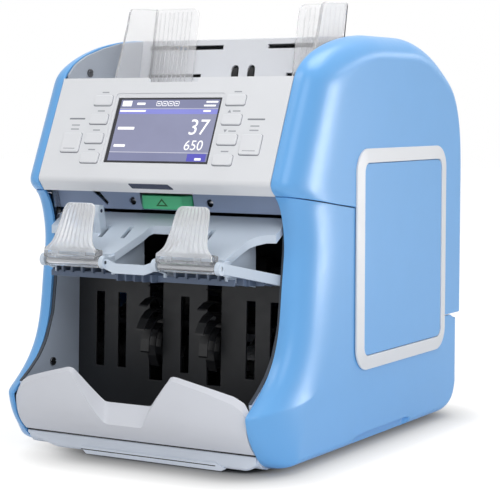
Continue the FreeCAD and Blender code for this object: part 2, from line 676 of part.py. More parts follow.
def tray_plate():
    """Sloping plate with two rimmed lobes, a finger gap in the middle and slots in the lobes."""
    wing = [(LINER_INNER, TRAY_REAR), (LINER_INNER, -121.4), (98, -121.8), (91, -124.8), (87, -128)]
    lobe = [(84.8, -132.5), (82.2, -142), (79.5, TRAY_FRONT), (24.5, TRAY_FRONT), (22.3, TRAY_FRONT + 2)]
    half = wing + lobe + [(12.2, -126.2), (11, -119.5), (8.5, -116.8)]
    outline = half + [(-x, y) for x, y in half[::-1]]
    gaps = []
    for sign in (-1, 1):
        for x in (27.6, 49.3):
            ends = sorted((sign * (x - 2.0), sign * (x + 2.0)))
            gaps.append(box(ends[0], ends[1], -133, -118.5, 100, 250))
    column = flat_prism(outline, 120, 220)
    border = Part.makePolygon([V(x, y, 120) for x, y in outline + outline[:1]])
    inside = Part.Face(border.makeOffset2D(-RIM_THICK, 2)).extrude(V(0, 0, 100))
    rim = column.cut(inside).common(tray_band(RIM_DEPTH))
    return cut_by(column, gaps).common(tray_band(TRAY_THICK)).fuse(rim).removeSplitter()


def tray_band(depth):
    """Slice of an even upright depth under the top of the tray."""
    band = [(-165, tray_height(-165)), (-100, tray_height(-100))]
    band += [(y, z - depth) for y, z in band[::-1]]
    return side_prism(band, -120, 120)


def tray_foot(y):
    """Lower edge of the ribs under the reject tray."""
    return 146.0 - (y + 157.5) * 0.2


def tray_rib(x, front):
    """Upright rib under the plate at one x, from a front line back to the rear edge."""
    under = TRAY_THICK - 0.5
    foot_front = tray_foot(front)
    outline = [(front, foot_front), (front, tray_height(front) - under)]
    outline += [(TRAY_REAR, tray_height(TRAY_REAR) - under), (TRAY_REAR, tray_foot(TRAY_REAR))]
    return side_prism(outline, x - 0.9, x + 0.9)


def reject_tray():
    pieces = [tray_plate()]
    pivot_y, pivot_z = FINGER_PIVOT
    for sign in (-1, 1):
        for x in (24.5, 34, 44, 54, 64, 73, 79.4):
            pieces.append(tray_rib(sign * x, TRAY_FRONT + 1))
        for x in (24.5, 81.3):
            boss = rod(pivot_y, pivot_z, 5.0, sign * x - 2.0, sign * x + 2.0)
            arm = [(pivot_y, pivot_z - 4), (-150, 147.5), (-150, 160), (-156, 158.5)]
            arm.append((pivot_y, pivot_z + 4.5))
            pieces.append(boss)
            pieces.append(side_prism(arm, sign * x - 2.0, sign * x + 2.0))
        ends = [(sign * 81.3, pivot_y + 2, pivot_z), (sign * 104.4, -111.0, 142.8)]
        pieces.append(Part.makeLoft([bar_section(*end) for end in ends], True, True))
        for y in (-118, -134):
            pieces.append(cross_rib(sign, y))
    sag = [(25, pivot_z - 4), (14, pivot_z - 8), (-14, pivot_z - 8), (-25, pivot_z - 4)]
    sag += [(x, z + 7.5) for x, z in sag[::-1]]
    pieces.append(front_prism(sag, pivot_y - 1.6, pivot_y + 1.6))
    tray = joined(pieces)
    bores = both_sides(rod(pivot_y, pivot_z, FINGER_PIN_RADIUS, FINGER_X - 32, FINGER_X + 32))
    room = both_sides(rod(pivot_y, pivot_z, 5.4, FINGER_X - 26.3, FINGER_X + 26.3))
    return cut_by(tray, bores + room)


def bar_section(x, y, z):
    """Upright rectangle that a side bar of the tray runs through."""
    corners = [V(x - 1.5, y, z - 4), V(x + 1.5, y, z - 4), V(x + 1.5, y, z + 4), V(x - 1.5, y, z + 4)]
    return Part.makePolygon(corners + corners[:1])


def cross_rib(sign, y):
    """Rib across one lobe at one y."""
    top = tray_height(y) - TRAY_THICK + 0.5
    ends = sorted((sign * 24.5, sign * 79.4))
    return box(ends[0], ends[1], y - 0.8, y + 0.8, tray_foot(y) + 1.0, top)


def reject_finger(sign):
    """Clear paddle that leans back from a block on a barrel round its pin."""
    middle = sign * FINGER_X
    half = [(25, 7), (20, 13), (17.5, 20), (15.5, 34), (14.5, 42), (11.5, 45.6)]
    outline = half + [(-x, v) for x, v in half[::-1]]
    lean = side_prism([(6, 9.0), (46, 0.8), (46, -2.6), (6, 5.4)], middle - 30, middle + 30)
    paddle = flat_prism([(x + middle, v) for x, v in outline], -10, 15).common(lean)
    block = rounded_plate(middle - 26, middle + 26, 1, 10, -2.2, 8.6, 1.5)
    barrel = Part.makeCylinder(4.6, 51.2, V(middle - 25.6, 0, 0), V(1, 0, 0))
    bore = Part.makeCylinder(FINGER_PIN_RADIUS + RUNNING, 70, V(middle - 35, 0, 0), V(1, 0, 0))
    finger = joined([paddle, block, barrel]).cut(bore)
    return tilted(finger, (0, FINGER_PIVOT[0], FINGER_PIVOT[1]), FINGER_ANGLE)


def pocket_liner_right():
    """Side wall of both pockets, on spacers against the side frame."""
    front = [(-110, 188), (-111.5, 166), (-114.5, 142), (-119.5, 107), (-129, 85), (-138, 73.5), (-150, 63.5)]
    foot = [(-162, 55), (-161, 40), (-155.5, 26), (-150, 20), (-82, 20), (-82, 188)]
    spacers = [rod(-92, z, 5.0, LINER_INNER, SIDE_FRAME_X0) for z in (40, 155)]
    return joined([side_prism(front + foot, LINER_INNER, PANEL_HALF)] + spacers)


# Stacker pocket

def lobe_drop(z):
    """Share of the way from a lobe's peak down to the seam at a height."""
    return max(0.0, (LOBE_Z - z) / (LOBE_Z - SEAM_Z))


def lobe_face(z):
    """Depth of the front surface at its middle at a height."""
    return LOBE_Y + 26.5 * lobe_drop(z) ** 4


def front_edge(x):
    """Height of the stacker front's top edge: a low notch, two lobes, falling ends."""
    reach = abs(x)
    if reach <= NOTCH_X:
        return NOTCH_Z
    if reach < LOBE_X:
        share = (reach - NOTCH_X) / (LOBE_X - NOTCH_X)
        return NOTCH_Z + (LOBE_Z - NOTCH_Z) * share * share * (3 - 2 * share)
    share = (reach - LOBE_X) / (HALF_OPENING - LOBE_X)
    return LOBE_Z - (LOBE_Z - END_Z) * share ** 1.7


def front_section(x):
    """Closed section of the stacker front at one x."""
    thick = 3.0
    top = front_edge(x)
    bow = 12.5 * (abs(x) / HALF_OPENING) ** 2.5
    outer = []
    for share in (0.0, 0.12, 0.25, 0.4, 0.6, 0.8, 1.0):
        z = SEAM_Z + 0.4 + (top - SEAM_Z - 0.4) * share
        outer.append((lobe_face(z) + bow * (1 - lobe_drop(z) ** 2), z))
    outer[-1] = (outer[-1][0] + 1.0, outer[-1][1])
    inner = [(y + thick, z) for y, z in outer[::-1]]
    corners = [V(x, y, z) for y, z in outer + inner]
    return Part.makePolygon(corners + corners[:1])


def stacker_front():
    reach = PANEL_HALF - 0.2
    halves = [0, 11, NOTCH_X, 26, 31, 36, 41, LOBE_X, 54, 66, 78, 90, 100, reach]
    stations = [-x for x in halves[:0:-1]] + halves
    ledge = box(-60, 60, -161.2, -145, 20.5, 23.15)
    return Part.makeLoft([front_section(x) for x in stations], True, True).fuse(ledge)


def stacker_pocket():
    """Floor and back wall of the stacker in one moulding, slotted for the wheels."""
    line = [(-160, 28), (-100, 19), (-91, 23), (-87.5, 33), (-84, 138)]
    sheet = bent_sheet(line[::-1], WALL, -LINER_INNER, LINER_INNER)
    slots = []
    for x in (-WHEEL_X, WHEEL_X):
        slots.append(box(x - 6.5, x + 6.5, -110, -60, 52, 150))
    for x in (-84, -62, 0, 62, 84):
        slots.append(box(x - 4, x + 4, -100, -70, 60, 122))
    return cut_by(sheet, slots)


def wheel_blade(number):
    """Swept-back blade of a stacker wheel, in the plane across its axle."""
    inner, thick, steps = 8.0, 1.6, 7
    turn = 2 * math.pi * number / WHEEL_BLADES
    front, back = [], []
    for step in range(steps):
        share = step / (steps - 1)
        radius = inner + (WHEEL_RADIUS - inner) * share
        angle = turn + 1.1 * share ** 1.3
        half = thick / 2 / radius
        front.append((radius * math.cos(angle - half), radius * math.sin(angle - half)))
        back.append((radius * math.cos(angle + half), radius * math.sin(angle + half)))
    axle_y, axle_z = STACKER_AXLE
    return [(axle_y + a, axle_z + b) for a, b in front + back[::-1]]


def stacker_wheels():
    axle_y, axle_z = STACKER_AXLE
    parts = [rod(axle_y, axle_z, SHAFT_RADIUS, BELT_X0, HALF_OPENING + 3)]
    for x in (-WHEEL_X, WHEEL_X):
        x0, x1 = x - WHEEL_WIDTH / 2, x + WHEEL_WIDTH / 2
        parts.append(rod(axle_y, axle_z, 9.0, x0, x1))
        for number in range(WHEEL_BLADES):
            parts.append(side_prism(wheel_blade(number), x0, x1))
    parts.append(rod(axle_y, axle_z, STACKER_PULLEY, BELT_X0, BELT_X1))
    return joined(parts)


def belt_loop(grow):
    """Hull of the three pulleys, as a solid, larger by a margin."""
    pulleys = [(STACKER_AXLE, STACKER_PULLEY), (TRANSPORT, TRANSPORT_PULLEY), (MOTOR, MOTOR_PULLEY)]
    rings = []
    for (y, z), radius in pulleys:
        rings.append(rod(y, z, radius + grow, BELT_X0, BELT_X1))
    runs = []
    for number, ((y0, z0), r0) in enumerate(pulleys):
        (y1, z1), r1 = pulleys[(number + 1) % 3]
        runs.append(belt_run(y0, z0, r0 + grow, y1, z1, r1 + grow))
    middle = side_prism([place for place, radius in pulleys], BELT_X0, BELT_X1)
    return joined(rings + runs + [middle])


def belt_run(y0, z0, r0, y1, z1, r1):
    """Quadrilateral between two pulleys, bounded by their common outer tangent."""
    length = math.hypot(y1 - y0, z1 - z0)
    along = math.atan2(z1 - z0, y1 - y0)
    lean = math.acos((r0 - r1) / length)
    side = along + lean
    touch0 = (y0 + r0 * math.cos(side), z0 + r0 * math.sin(side))
    touch1 = (y1 + r1 * math.cos(side), z1 + r1 * math.sin(side))
    return side_prism([(y0, z0), touch0, touch1, (y1, z1)], BELT_X0, BELT_X1)


def drive_belt():
    return belt_loop(0.3 + BELT_THICK).cut(belt_loop(0.3))


# Note path

def path_point(share, rise):
    """Point along the slanted note path, lifted square to it."""
    dy, dz = PATH_REAR[0] - PATH_FRONT[0], PATH_REAR[1] - PATH_FRONT[1]
    length = math.hypot(dy, dz)
    y = PATH_FRONT[0] + dy * share - dz / length * rise
    z = PATH_FRONT[1] + dz * share + dy / length * rise
    return (y, z)


def path_slots(low, high):
    """Openings for the transport rollers and the sensor bar."""
    tools = []
    for x in (-60, -20, 20, 60):
        tools.append(rod(TRANSPORT[0], TRANSPORT[1], TRANSPORT_RADIUS + 1.2, x - 6.5, x + 6.5))
    first, last = SENSOR_SHARE - SENSOR_HALF - 0.004, SENSOR_SHARE + SENSOR_HALF + 0.004
    window = [path_point(first, low), path_point(last, low), path_point(last, high), path_point(first, high)]
    tools.append(side_prism(window, -100.5, 100.5))
    return tools


def lower_path_plate():
    line = [path_point(1.0, 0), path_point(0.0, 0), (-46, 184.4)]
    sheet = bent_sheet(line, 2.0, -SIDE_FRAME_X0, SIDE_FRAME_X0)
    return cut_by(sheet, path_slots(-6, 1))


def upper_path_plate():
    line = [path_point(1.0, PATH_GAP), path_point(0.04, PATH_GAP), (-58, 197.5), (-98, 197.5)]
    sheet = bent_sheet(line[::-1], 2.0, -UPPER_FRAME_X0, UPPER_FRAME_X0)
    return cut_by(sheet, path_slots(PATH_GAP - 1, PATH_GAP + 6))


def sensor_block(low, high, reach):
    first, last = SENSOR_SHARE - SENSOR_HALF, SENSOR_SHARE + SENSOR_HALF
    outline = [path_point(first, low), path_point(last, low), path_point(last, high), path_point(first, high)]
    return side_prism(outline, -reach, reach)


def lower_image_sensor():
    """Bar flush with the lower path plate, with ears that reach the side frames."""
    return sensor_block(-14, -0.4, 100).fuse(sensor_block(-14, -3, SIDE_FRAME_X0)).removeSplitter()


def upper_image_sensor():
    """Bar flush with the upper path plate, with ears that reach the upper frames."""
    face = PATH_GAP
    bar = sensor_block(face + 0.4, face + 14, 100)
    return bar.fuse(sensor_block(face + 3, face + 14, UPPER_FRAME_X0)).removeSplitter()


def diverter_gate():
    """Shaft with a comb of pointed fingers that tips notes up or down."""
    y, z = GATE
    parts = [rod(y, z, GATE_RADIUS, -112, 112)]
    for number in range(9):
        x = -88 + 22 * number
        blade = [(y - 4, z), (y - 2, z + 2.4), (y + 21, z + 3.2), (y + 21, z + 2.4), (y + 3, z - 2.2)]
        parts.append(side_prism(blade, x - 2.5, x + 2.5))
    return joined(parts)


# Base, rear and inner units

def base_pan():
    """Pan with the plinth that shows under the stacker front."""
    rear = REAR_FACE - WALL
    below = [(-151.5, SEAM_Z - 0.4), (-149.5, 8.5), (-145.5, 4.4), (-139, 2.4)]
    below += [(-120, 2.4), (-112, 8), (rear, 8)]
    above = [(rear, BASE_TOP), (-118, BASE_TOP), (-136, 12), (-147.5, SEAM_Z - 0.4)]
    return side_prism(below + above, -PANEL_HALF, PANEL_HALF)


def foot(x, y):
    pad = Part.makeCone(9.0, 10.5, 8.0, V(x, y, 0))
    base = [edge for edge in pad.Edges if abs(edge.CenterOfMass.z) < 1e-6]
    return pad.makeChamfer(0.8, base)


def rubber_feet():
    return [foot(x, y) for x in (-88, 88) for y in (-98, 138)]


def rear_lower_panel():
    panel = box(-107, 107, REAR_FACE - WALL, REAR_FACE, 8, 86)
    holes = [box(INLET_X - 14, INLET_X + 14, 150, 180, INLET_Z - 10.5, INLET_Z + 10.5)]
    holes.append(box(INLET_X - 10, INLET_X + 10, 150, 180, ROCKER_Z - 7.5, ROCKER_Z + 7.5))
    holes.append(box(18, 94, 150, 180, 28, 46))
    vents = [box(x, x + 3.5, 150, 180, 54, 78) for x in range(20, 92, 9)]
    return cut_by(panel, holes + vents)


def mains_inlet():
    """Three-pin inlet below and the rocker's bezel above."""
    flange = box(INLET_X - 16, INLET_X + 16, REAR_FACE, REAR_FACE + 2.2, INLET_Z - 13, INLET_Z + 13)
    body = box(INLET_X - 13.6, INLET_X + 13.6, REAR_FACE - 20, REAR_FACE, INLET_Z - 10, INLET_Z + 10)
    recess = box(INLET_X - 12, INLET_X + 12, REAR_FACE - 15, REAR_FACE + 5, INLET_Z - 8, INLET_Z + 8)
    pins = []
    for x, z in ((-7, -2), (7, -2), (0, 2)):
        pins.append(box(INLET_X + x - 1, INLET_X + x + 1, REAR_FACE - 15.5, REAR_FACE - 4,
                        INLET_Z + z - 2, INLET_Z + z + 2))
    bezel = box(INLET_X - 12.5, INLET_X + 12.5, REAR_FACE, REAR_FACE + 1.6, ROCKER_Z - 10, ROCKER_Z + 10)
    cell = box(INLET_X - 9.8, INLET_X + 9.8, REAR_FACE - 14, REAR_FACE, ROCKER_Z - 7.3, ROCKER_Z + 7.3)
    well = box(INLET_X - 8.6, INLET_X + 8.6, REAR_FACE - 12, REAR_FACE + 5, ROCKER_Z - 6.4, ROCKER_Z + 6.4)
    axle_hole = rod(REAR_FACE - 4, ROCKER_Z, ROCKER_AXLE_RADIUS + RUNNING, INLET_X - 12, INLET_X + 12)
    return [joined([flange, body]).cut(recess).fuse(pins), cut_by(joined([bezel, cell]), [well, axle_hole])]


def power_rocker():
    """Rocker with two flat faces, on a cross axle inside its well."""
    y = REAR_FACE - 4
    section = [(-4, -3), (4.4, -5.4), (4, 0), (5.6, 4.6), (-4, 3)]
    outline = [(y + depth, ROCKER_Z + rise) for depth, rise in section]
    axle = rod(y, ROCKER_Z, ROCKER_AXLE_RADIUS, INLET_X - 9.4, INLET_X + 9.4)
    return joined([side_prism(outline, INLET_X - 8.2, INLET_X + 8.2), axle])


def interface_sockets():
    """Data, network and service sockets on one carrier."""
    carrier = box(14, 98, REAR_FACE - WALL - 1.2, REAR_FACE - WALL, 24, 50)
    network = box(22, 38, REAR_FACE - 18, REAR_FACE, 30, 44)
    serial = front_prism([(45, 32), (64, 32), (62, 43), (47, 43)], REAR_FACE - 12, REAR_FACE + 1)
    sockets = [carrier, network, serial]
    mouth = [(46.5, 33.5), (62.5, 33.5), (61, 41.5), (48, 41.5)]
    mouths = [box(24, 36, REAR_FACE - 14, REAR_FACE + 2, 32, 41.5)]
    mouths.append(front_prism(mouth, REAR_FACE - 8, REAR_FACE + 2))
    tongues = []
    for z in (30.5, 38.5):
        sockets.append(box(72, 86, REAR_FACE - 14, REAR_FACE + 0.6, z, z + 6))
        mouths.append(box(73, 85, REAR_FACE - 12, REAR_FACE + 2, z + 0.8, z + 5.2))
        tongues.append(box(74, 84, REAR_FACE - 12.5, REAR_FACE - 1, z + 3.2, z + 4.6))
    return joined([cut_by(joined(sockets), mouths)] + tongues)


def main_board():
    """Horizontal circuit board on pillars, with chips, heat sink and connectors."""
    pieces = [box(6, 100, -40, 138, 20, 21.6)]
    for x, y, size, height in ((30, 0, 22, 3), (70, 20, 26, 4), (40, 70, 18, 12), (78, 84, 20, 9)):
        pieces.append(box(x - size / 2, x + size / 2, y - size / 2, y + size / 2, 21, 21.6 + height))
    for number in range(6):
        pieces.append(box(59, 81, 10 + 4 * number, 11.5 + 4 * number, 25, 38))
    for number in range(5):
        pieces.append(box(10, 16, -34 + 26 * number, -16 + 26 * number, 21, 30))
    for x in (12, 94):
        for y in (-34, 132):
            pieces.append(Part.makeCylinder(3, 10, V(x, y, BASE_TOP)))
    return joined(pieces)


def power_supply():
    case = box(-98, -8, 48, 138, BASE_TOP, 52)
    vents = [box(-120, 0, 58 + 8 * row, 61 + 8 * row, 44, 60) for row in range(9)]
    return cut_by(case, vents)


def drive_motor():
    """Motor can with its front plate, rear cap and mounting foot."""
    y, z = MOTOR
    can = rod(y, z, 24, -104, -48)
    cap = rod(y, z, 19, -48, -38)
    plate = box(-109.2, -104, y - 26, y + 26, z - 26, z + 26).cut(rod(y, z, 7, -115, -100))
    pedestal = box(-100, -56, y - 16, y + 16, BASE_TOP, z - 20)
    shaft_room = rod(y, z, SHAFT_RADIUS + RUNNING, -115, -90)
    return joined([can, cap, plate, pedestal]).cut(shaft_room)


def motor_pulley():
    y, z = MOTOR
    return joined([rod(y, z, MOTOR_PULLEY, BELT_X0, BELT_X1), rod(y, z, SHAFT_RADIUS, BELT_X1, -91)])


def transport_rollers():
    shaft = roller_shaft(TRANSPORT, SHAFT_RADIUS, TRANSPORT_RADIUS, 10, (-60, -20, 20, 60), HALF_OPENING + 3)
    pulley = rod(TRANSPORT[0], TRANSPORT[1], TRANSPORT_PULLEY, BELT_X0, BELT_X1)
    stub = rod(TRANSPORT[0], TRANSPORT[1], SHAFT_RADIUS, BELT_X0, -HALF_OPENING)
    return joined([shaft, pulley, stub])


def casing_screws():
    """Pan heads on the pocket liners."""
    head = rod(-122.2, 66.3, 3.4, LINER_INNER - 1.6, LINER_INNER)
    slot = box(LINER_INNER - 2, LINER_INNER - 0.9, -126, -118.5, 65.9, 66.7)
    return both_sides(head.cut(slot))


def main():
    os.makedirs("parts", exist_ok=True)
    upper_right = upper_cover_right()
    save("upper_cover_right", upper_right)
    save("upper_cover_left", mirrored(upper_right))
    lower_right = lower_cover_right()
    save("lower_cover_right", lower_right)
    save("lower_cover_left", mirrored(lower_right))
    save("trim_rings", *both_sides(trim_ring_right()))
    save("side_panels", *both_sides(side_panel_right()))
    save("control_panel", control_panel())
    save("display_lens", display_lens())
    save("display_board", display_board())
    for name, size, x, row in key_places():
        save(name, key(size, x, row))
    save("hopper_back_plate", hopper_back_plate())
    save("hopper_floor", hopper_floor())
    save("hopper_cheeks", *both_sides(hopper_cheek_right()))
    save("hopper_screws", *hopper_screws())
    save("top_rear_cover", top_rear_cover())
    save("hopper_guide_left", hopper_guide_left())
    save("hopper_guide_right", hopper_guide_right())
    save("guide_pinion", guide_pinion())
    save("kicker_rollers", roller_shaft(kicker_place(), LATCH_RADIUS, KICKER_RADIUS, KICKER_WIDTH,
                                        (-KICKER_X, KICKER_X), PANEL_HALF))
    save("feed_rollers", roller_shaft(FEED, SHAFT_RADIUS, FEED_RADIUS, 12, (-42, -14, 14, 42), PANEL_HALF))
    save("upper_frames", *both_sides(upper_frame_right()))
    save("side_frames", *side_frames())
    save("pivot_pins", *pivot_pins())
    save("front_strip", front_strip())
    save("release_lever", release_lever())
    save("latch_shaft", latch_shaft())
    save("reject_tray", reject_tray())
    save("reject_finger_left", reject_finger(-1))
    save("reject_finger_right", reject_finger(1))
    save("pocket_liners", *both_sides(pocket_liner_right()))
    save("stacker_front", stacker_front())
    save("stacker_pocket", stacker_pocket())
    save("stacker_wheels", stacker_wheels())
    save("drive_belt", drive_belt())
    save("lower_path_plate", lower_path_plate())
    save("upper_path_plate", upper_path_plate())
    save("lower_image_sensor", lower_image_sensor())
    save("upper_image_sensor", upper_image_sensor())
    save("diverter_gate", diverter_gate())
    save("base_pan", base_pan())
    save("rubber_feet", *rubber_feet())
    save("rear_lower_panel", rear_lower_panel())
    save("mains_inlet", *mains_inlet())
    save("power_rocker", power_rocker())
    save("interface_sockets", interface_sockets())
    save("main_board", main_board())
    save("power_supply", power_supply())
    save("drive_motor", drive_motor())
    save("motor_pulley", motor_pulley())
    save("transport_rollers", transport_rollers())
    save("casing_screws", *casing_screws())


main()
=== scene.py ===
"""Looks of a two-pocket desk counter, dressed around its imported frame.

Shapes are drawn in casing millimetres: +Z up, the front faces -Y, and y is counted from a line
through the hopper. Every mesh is moved to the frame's metres when it is made.
"""
import json
import logging
import math
from contextlib import contextmanager
from dataclasses import dataclass
from enum import Enum
from functools import cache
from typing import Iterator, Sequence

import bmesh
import bpy
import numpy as np
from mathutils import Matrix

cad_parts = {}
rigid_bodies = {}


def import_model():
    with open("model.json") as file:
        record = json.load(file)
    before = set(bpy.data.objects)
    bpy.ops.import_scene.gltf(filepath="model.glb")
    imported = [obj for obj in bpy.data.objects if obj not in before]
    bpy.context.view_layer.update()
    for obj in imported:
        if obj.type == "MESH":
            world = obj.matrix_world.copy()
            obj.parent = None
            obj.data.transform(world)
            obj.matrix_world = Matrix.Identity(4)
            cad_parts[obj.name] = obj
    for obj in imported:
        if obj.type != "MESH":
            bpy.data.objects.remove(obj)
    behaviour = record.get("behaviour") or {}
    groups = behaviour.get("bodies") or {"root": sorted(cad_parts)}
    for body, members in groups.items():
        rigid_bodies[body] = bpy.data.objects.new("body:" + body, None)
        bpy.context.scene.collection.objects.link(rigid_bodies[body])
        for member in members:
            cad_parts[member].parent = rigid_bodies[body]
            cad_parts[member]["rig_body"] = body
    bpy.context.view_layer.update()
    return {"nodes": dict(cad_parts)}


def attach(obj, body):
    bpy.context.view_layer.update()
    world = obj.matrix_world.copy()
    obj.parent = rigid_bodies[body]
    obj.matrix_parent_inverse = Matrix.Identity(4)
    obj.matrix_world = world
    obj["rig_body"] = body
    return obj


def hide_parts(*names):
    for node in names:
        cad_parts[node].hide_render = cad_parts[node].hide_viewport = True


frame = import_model()

Array = np.ndarray
Flat = tuple[float, float]
Point = tuple[float, float, float]
Box = tuple[float, float, float, float]
Colour = tuple[float, float, float, float]
Piece = bpy.types.Object
Socket = bpy.types.NodeSocket

MM = 0.001
MIDDLE_Y = -1.42
IMAGE_SIZE = 500
TINY = 1e-9
SAME_PLACE = 2e-6
MITRE_LIMIT = 0.4
NOISE_LOW = 0.3
NOISE_HIGH = 0.7
LOG = logging.getLogger("counter")


class Body(Enum):
    """Bodies of the frame that pieces ride on."""

    LOWER = "lower_unit"
    UPPER = "upper_unit"
    LATCH = "release_latch"
    FINGER_LEFT = "finger_left"
    FINGER_RIGHT = "finger_right"
    GUIDE_LEFT = "guide_left"
    GUIDE_RIGHT = "guide_right"


class Side(Enum):
    """Left and right of the machine, as the sign of x."""

    LEFT = -1
    RIGHT = 1

    @property
    def word(self) -> str:
        """Name of the side in lower case."""
        return self.name.lower()


# Curves and outlines


def spline(knots: Sequence[Sequence[float]], start: Flat, end: Flat, count: int) -> Array:
    """Smooth curve through knots: a cubic spline on chord length with given end directions.

    The slopes m solve h1*m0 + 2*(h0+h1)*m1 + h0*m2 = 3*(h1*d0 + h0*d1), with spans h and chord slopes d,
    and each span is then the usual Hermite cubic of its two points and slopes.

    Args:
        knots: points whose first two columns are a place and whose others are carried along.
        start: direction in which the curve leaves the first knot.
        end: direction in which it arrives at the last one.
        count: number of points on the curve.

    Returns:
        Points of the curve, count by the knots' columns.
    """
    points = np.asarray(knots, float)
    span = np.linalg.norm(np.diff(points[:, :2], axis=0), axis=1)
    chord = np.diff(points, axis=0) / span[:, None]
    inner = np.arange(1, len(points) - 1)
    system = np.eye(len(points))
    system[inner, inner - 1] = span[1:]
    system[inner, inner] = 2 * (span[:-1] + span[1:])
    system[inner, inner + 1] = span[:-1]
    wanted = np.zeros_like(points)
    wanted[1:-1] = 3 * (span[1:, None] * chord[:-1] + span[:-1, None] * chord[1:])
    wanted[0], wanted[-1] = chord[0], chord[-1]
    wanted[0, :2], wanted[-1, :2] = start, end
    slope = np.linalg.solve(system, wanted)
    knot_at = np.concatenate([[0.0], np.cumsum(span)])
    at = np.linspace(0.0, knot_at[-1], count)
    place = np.clip(np.searchsorted(knot_at, at, side="right") - 1, 0, len(span) - 1)
    share = ((at - knot_at[place]) / span[place])[:, None]
    width = span[place][:, None]
    low = (2 * share**3 - 3 * share**2 + 1) * points[place]
    low += (share**3 - 2 * share**2 + share) * width * slope[place]
    high = (3 * share**2 - 2 * share**3) * points[place + 1]
    high += (share**3 - share**2) * width * slope[place + 1]
    return low + high


def even(points: Array, step: float) -> Array:
    """Points spaced evenly along a polyline, by its length in the first two columns.

    Args:
        points: corners of the polyline.
        step: wanted distance between points.

    Returns:
        The spaced points, with the same ends.
    """
    stretch = np.linalg.norm(np.diff(points[:, :2], axis=0), axis=1)
    length = np.concatenate([[0.0], np.cumsum(stretch)])
    keep = np.concatenate([[True], stretch > TINY])
    at = np.linspace(0.0, length[-1], max(2, int(round(length[-1] / step)) + 1))
    return np.stack([np.interp(at, length[keep], column[keep]) for column in points.T], axis=1)


def eased(points: Array, reach: int) -> Array:
    """Points with their corners rounded by a running mean, ends kept by an odd reflection.

    Args:
        points: evenly spaced points.
        reach: neighbours on each side that take part.

    Returns:
        The rounded points.
    """
    head = 2 * points[0] - points[reach:0:-1]
    tail = 2 * points[-1] - points[-2:-reach - 2:-1]
    padded = np.concatenate([head, points, tail])
    window = np.hanning(2 * reach + 3)[1:-1]
    window /= window.sum()
    return np.stack([np.convolve(column, window, mode="valid") for column in padded.T], axis=1)


def rounded(corners: Sequence[Flat], radii: Sequence[float] | float, steps: int = 5) -> Array:
    """Closed outline with an arc at each corner.

    A corner's arc touches both sides at radius / tan(half the corner's angle) from the corner.

    Args:
        corners: corners in order.
        radii: one radius, or one for each corner.
        steps: spans of each arc.

    Returns:
        Points of the outline, anticlockwise.
    """
    points = np.asarray(corners, float)
    before, after = np.roll(points, 1, axis=0) - points, np.roll(points, -1, axis=0) - points
    before /= np.linalg.norm(before, axis=1)[:, None]
    after /= np.linalg.norm(after, axis=1)[:, None]
    half = np.arccos(np.clip((before * after).sum(1), -1, 1)) / 2
    radius = np.broadcast_to(np.asarray(radii, float), len(points))
    bisector = before + after
    bisector /= np.maximum(np.linalg.norm(bisector, axis=1), TINY)[:, None]
    centre = points + bisector * (radius / np.sin(half))[:, None]
    start = points + before * (radius / np.tan(half))[:, None] - centre
    turn_sign = np.sign(before[:, 0] * after[:, 1] - before[:, 1] * after[:, 0])
    sweep = -turn_sign * (math.pi - 2 * half)
    angle = sweep[:, None] * np.linspace(0, 1, steps + 1)
    x = centre[:, None, 0] + start[:, None, 0] * np.cos(angle) - start[:, None, 1] * np.sin(angle)
    y = centre[:, None, 1] + start[:, None, 0] * np.sin(angle) + start[:, None, 1] * np.cos(angle)
    return anticlockwise(np.stack([x, y], axis=-1).reshape(-1, 2))


def anticlockwise(outline: Array) -> Array:
    """Closed outline in the order that makes its area positive."""
    area = (outline[:, 0] * np.roll(outline[:, 1], -1) - outline[:, 1] * np.roll(outline[:, 0], -1)).sum()
    return outline if area > 0 else outline[::-1]


def box(u0: float, u1: float, v0: float, v1: float) -> tuple[Flat, ...]:
    """Corners of a rectangle, anticlockwise."""
    return (u0, v0), (u1, v0), (u1, v1), (u0, v1)


def middle_box(width: float, height: float) -> tuple[Flat, ...]:
    """Corners of a rectangle about its own middle, anticlockwise."""
    return box(-width / 2, width / 2, -height / 2, height / 2)


def rounded_box(u0: float, u1: float, v0: float, v1: float, radius: float, steps: int = 5) -> Array:
    """Rectangle with round corners, anticlockwise."""
    return rounded(box(u0, u1, v0, v1), radius, steps)


def inset(outline: Array, depth: float) -> Array:
    """Move a closed outline inwards, mitred at its corners.

    With side normals n, a corner moves by depth*(n0 + n1)/(1 + n0.n1).

    Args:
        outline: closed outline, anticlockwise.
        depth: how far every side moves.

    Returns:
        The moved outline, point for point.
    """
    along = np.roll(outline, -1, axis=0) - outline
    along /= np.maximum(np.linalg.norm(along, axis=1), TINY)[:, None]
    normal = np.stack([-along[:, 1], along[:, 0]], axis=1)
    earlier = np.roll(normal, 1, axis=0)
    reach = depth / np.maximum(1 + (normal * earlier).sum(1), MITRE_LIMIT)
    return outline + (normal + earlier) * reach[:, None]


@dataclass(frozen=True)
class Plane:
    """A drawing plane in the casing, with directions across, along and out of it."""

    origin: Point
    across: Point
    along: Point
    out: Point

    def place(self, u: Array, v: Array, w: Array | float) -> Array:
        """Casing points of plane coordinates: origin + u*across + v*along + w*out."""
        u, v, w = (np.asarray(way, float)[..., None] for way in (u, v, w))
        return np.array(self.origin) + u * self.across + v * self.along + w * self.out


def sloped_plane(x: float, y: float, z: float, degrees: float) -> Plane:
    """Plane through a casing point that rises towards the rear at an angle and faces the front."""
    level, rise = math.cos(math.radians(degrees)), math.sin(math.radians(degrees))
    return Plane((x, y, z), (1.0, 0.0, 0.0), (0.0, level, rise), (0.0, -rise, level))


def side_plane(x: float) -> Plane:
    """Upright plane of depth and height that faces right."""
    return Plane((x, 0.0, 0.0), (0.0, 1.0, 0.0), (0.0, 0.0, 1.0), (1.0, 0.0, 0.0))


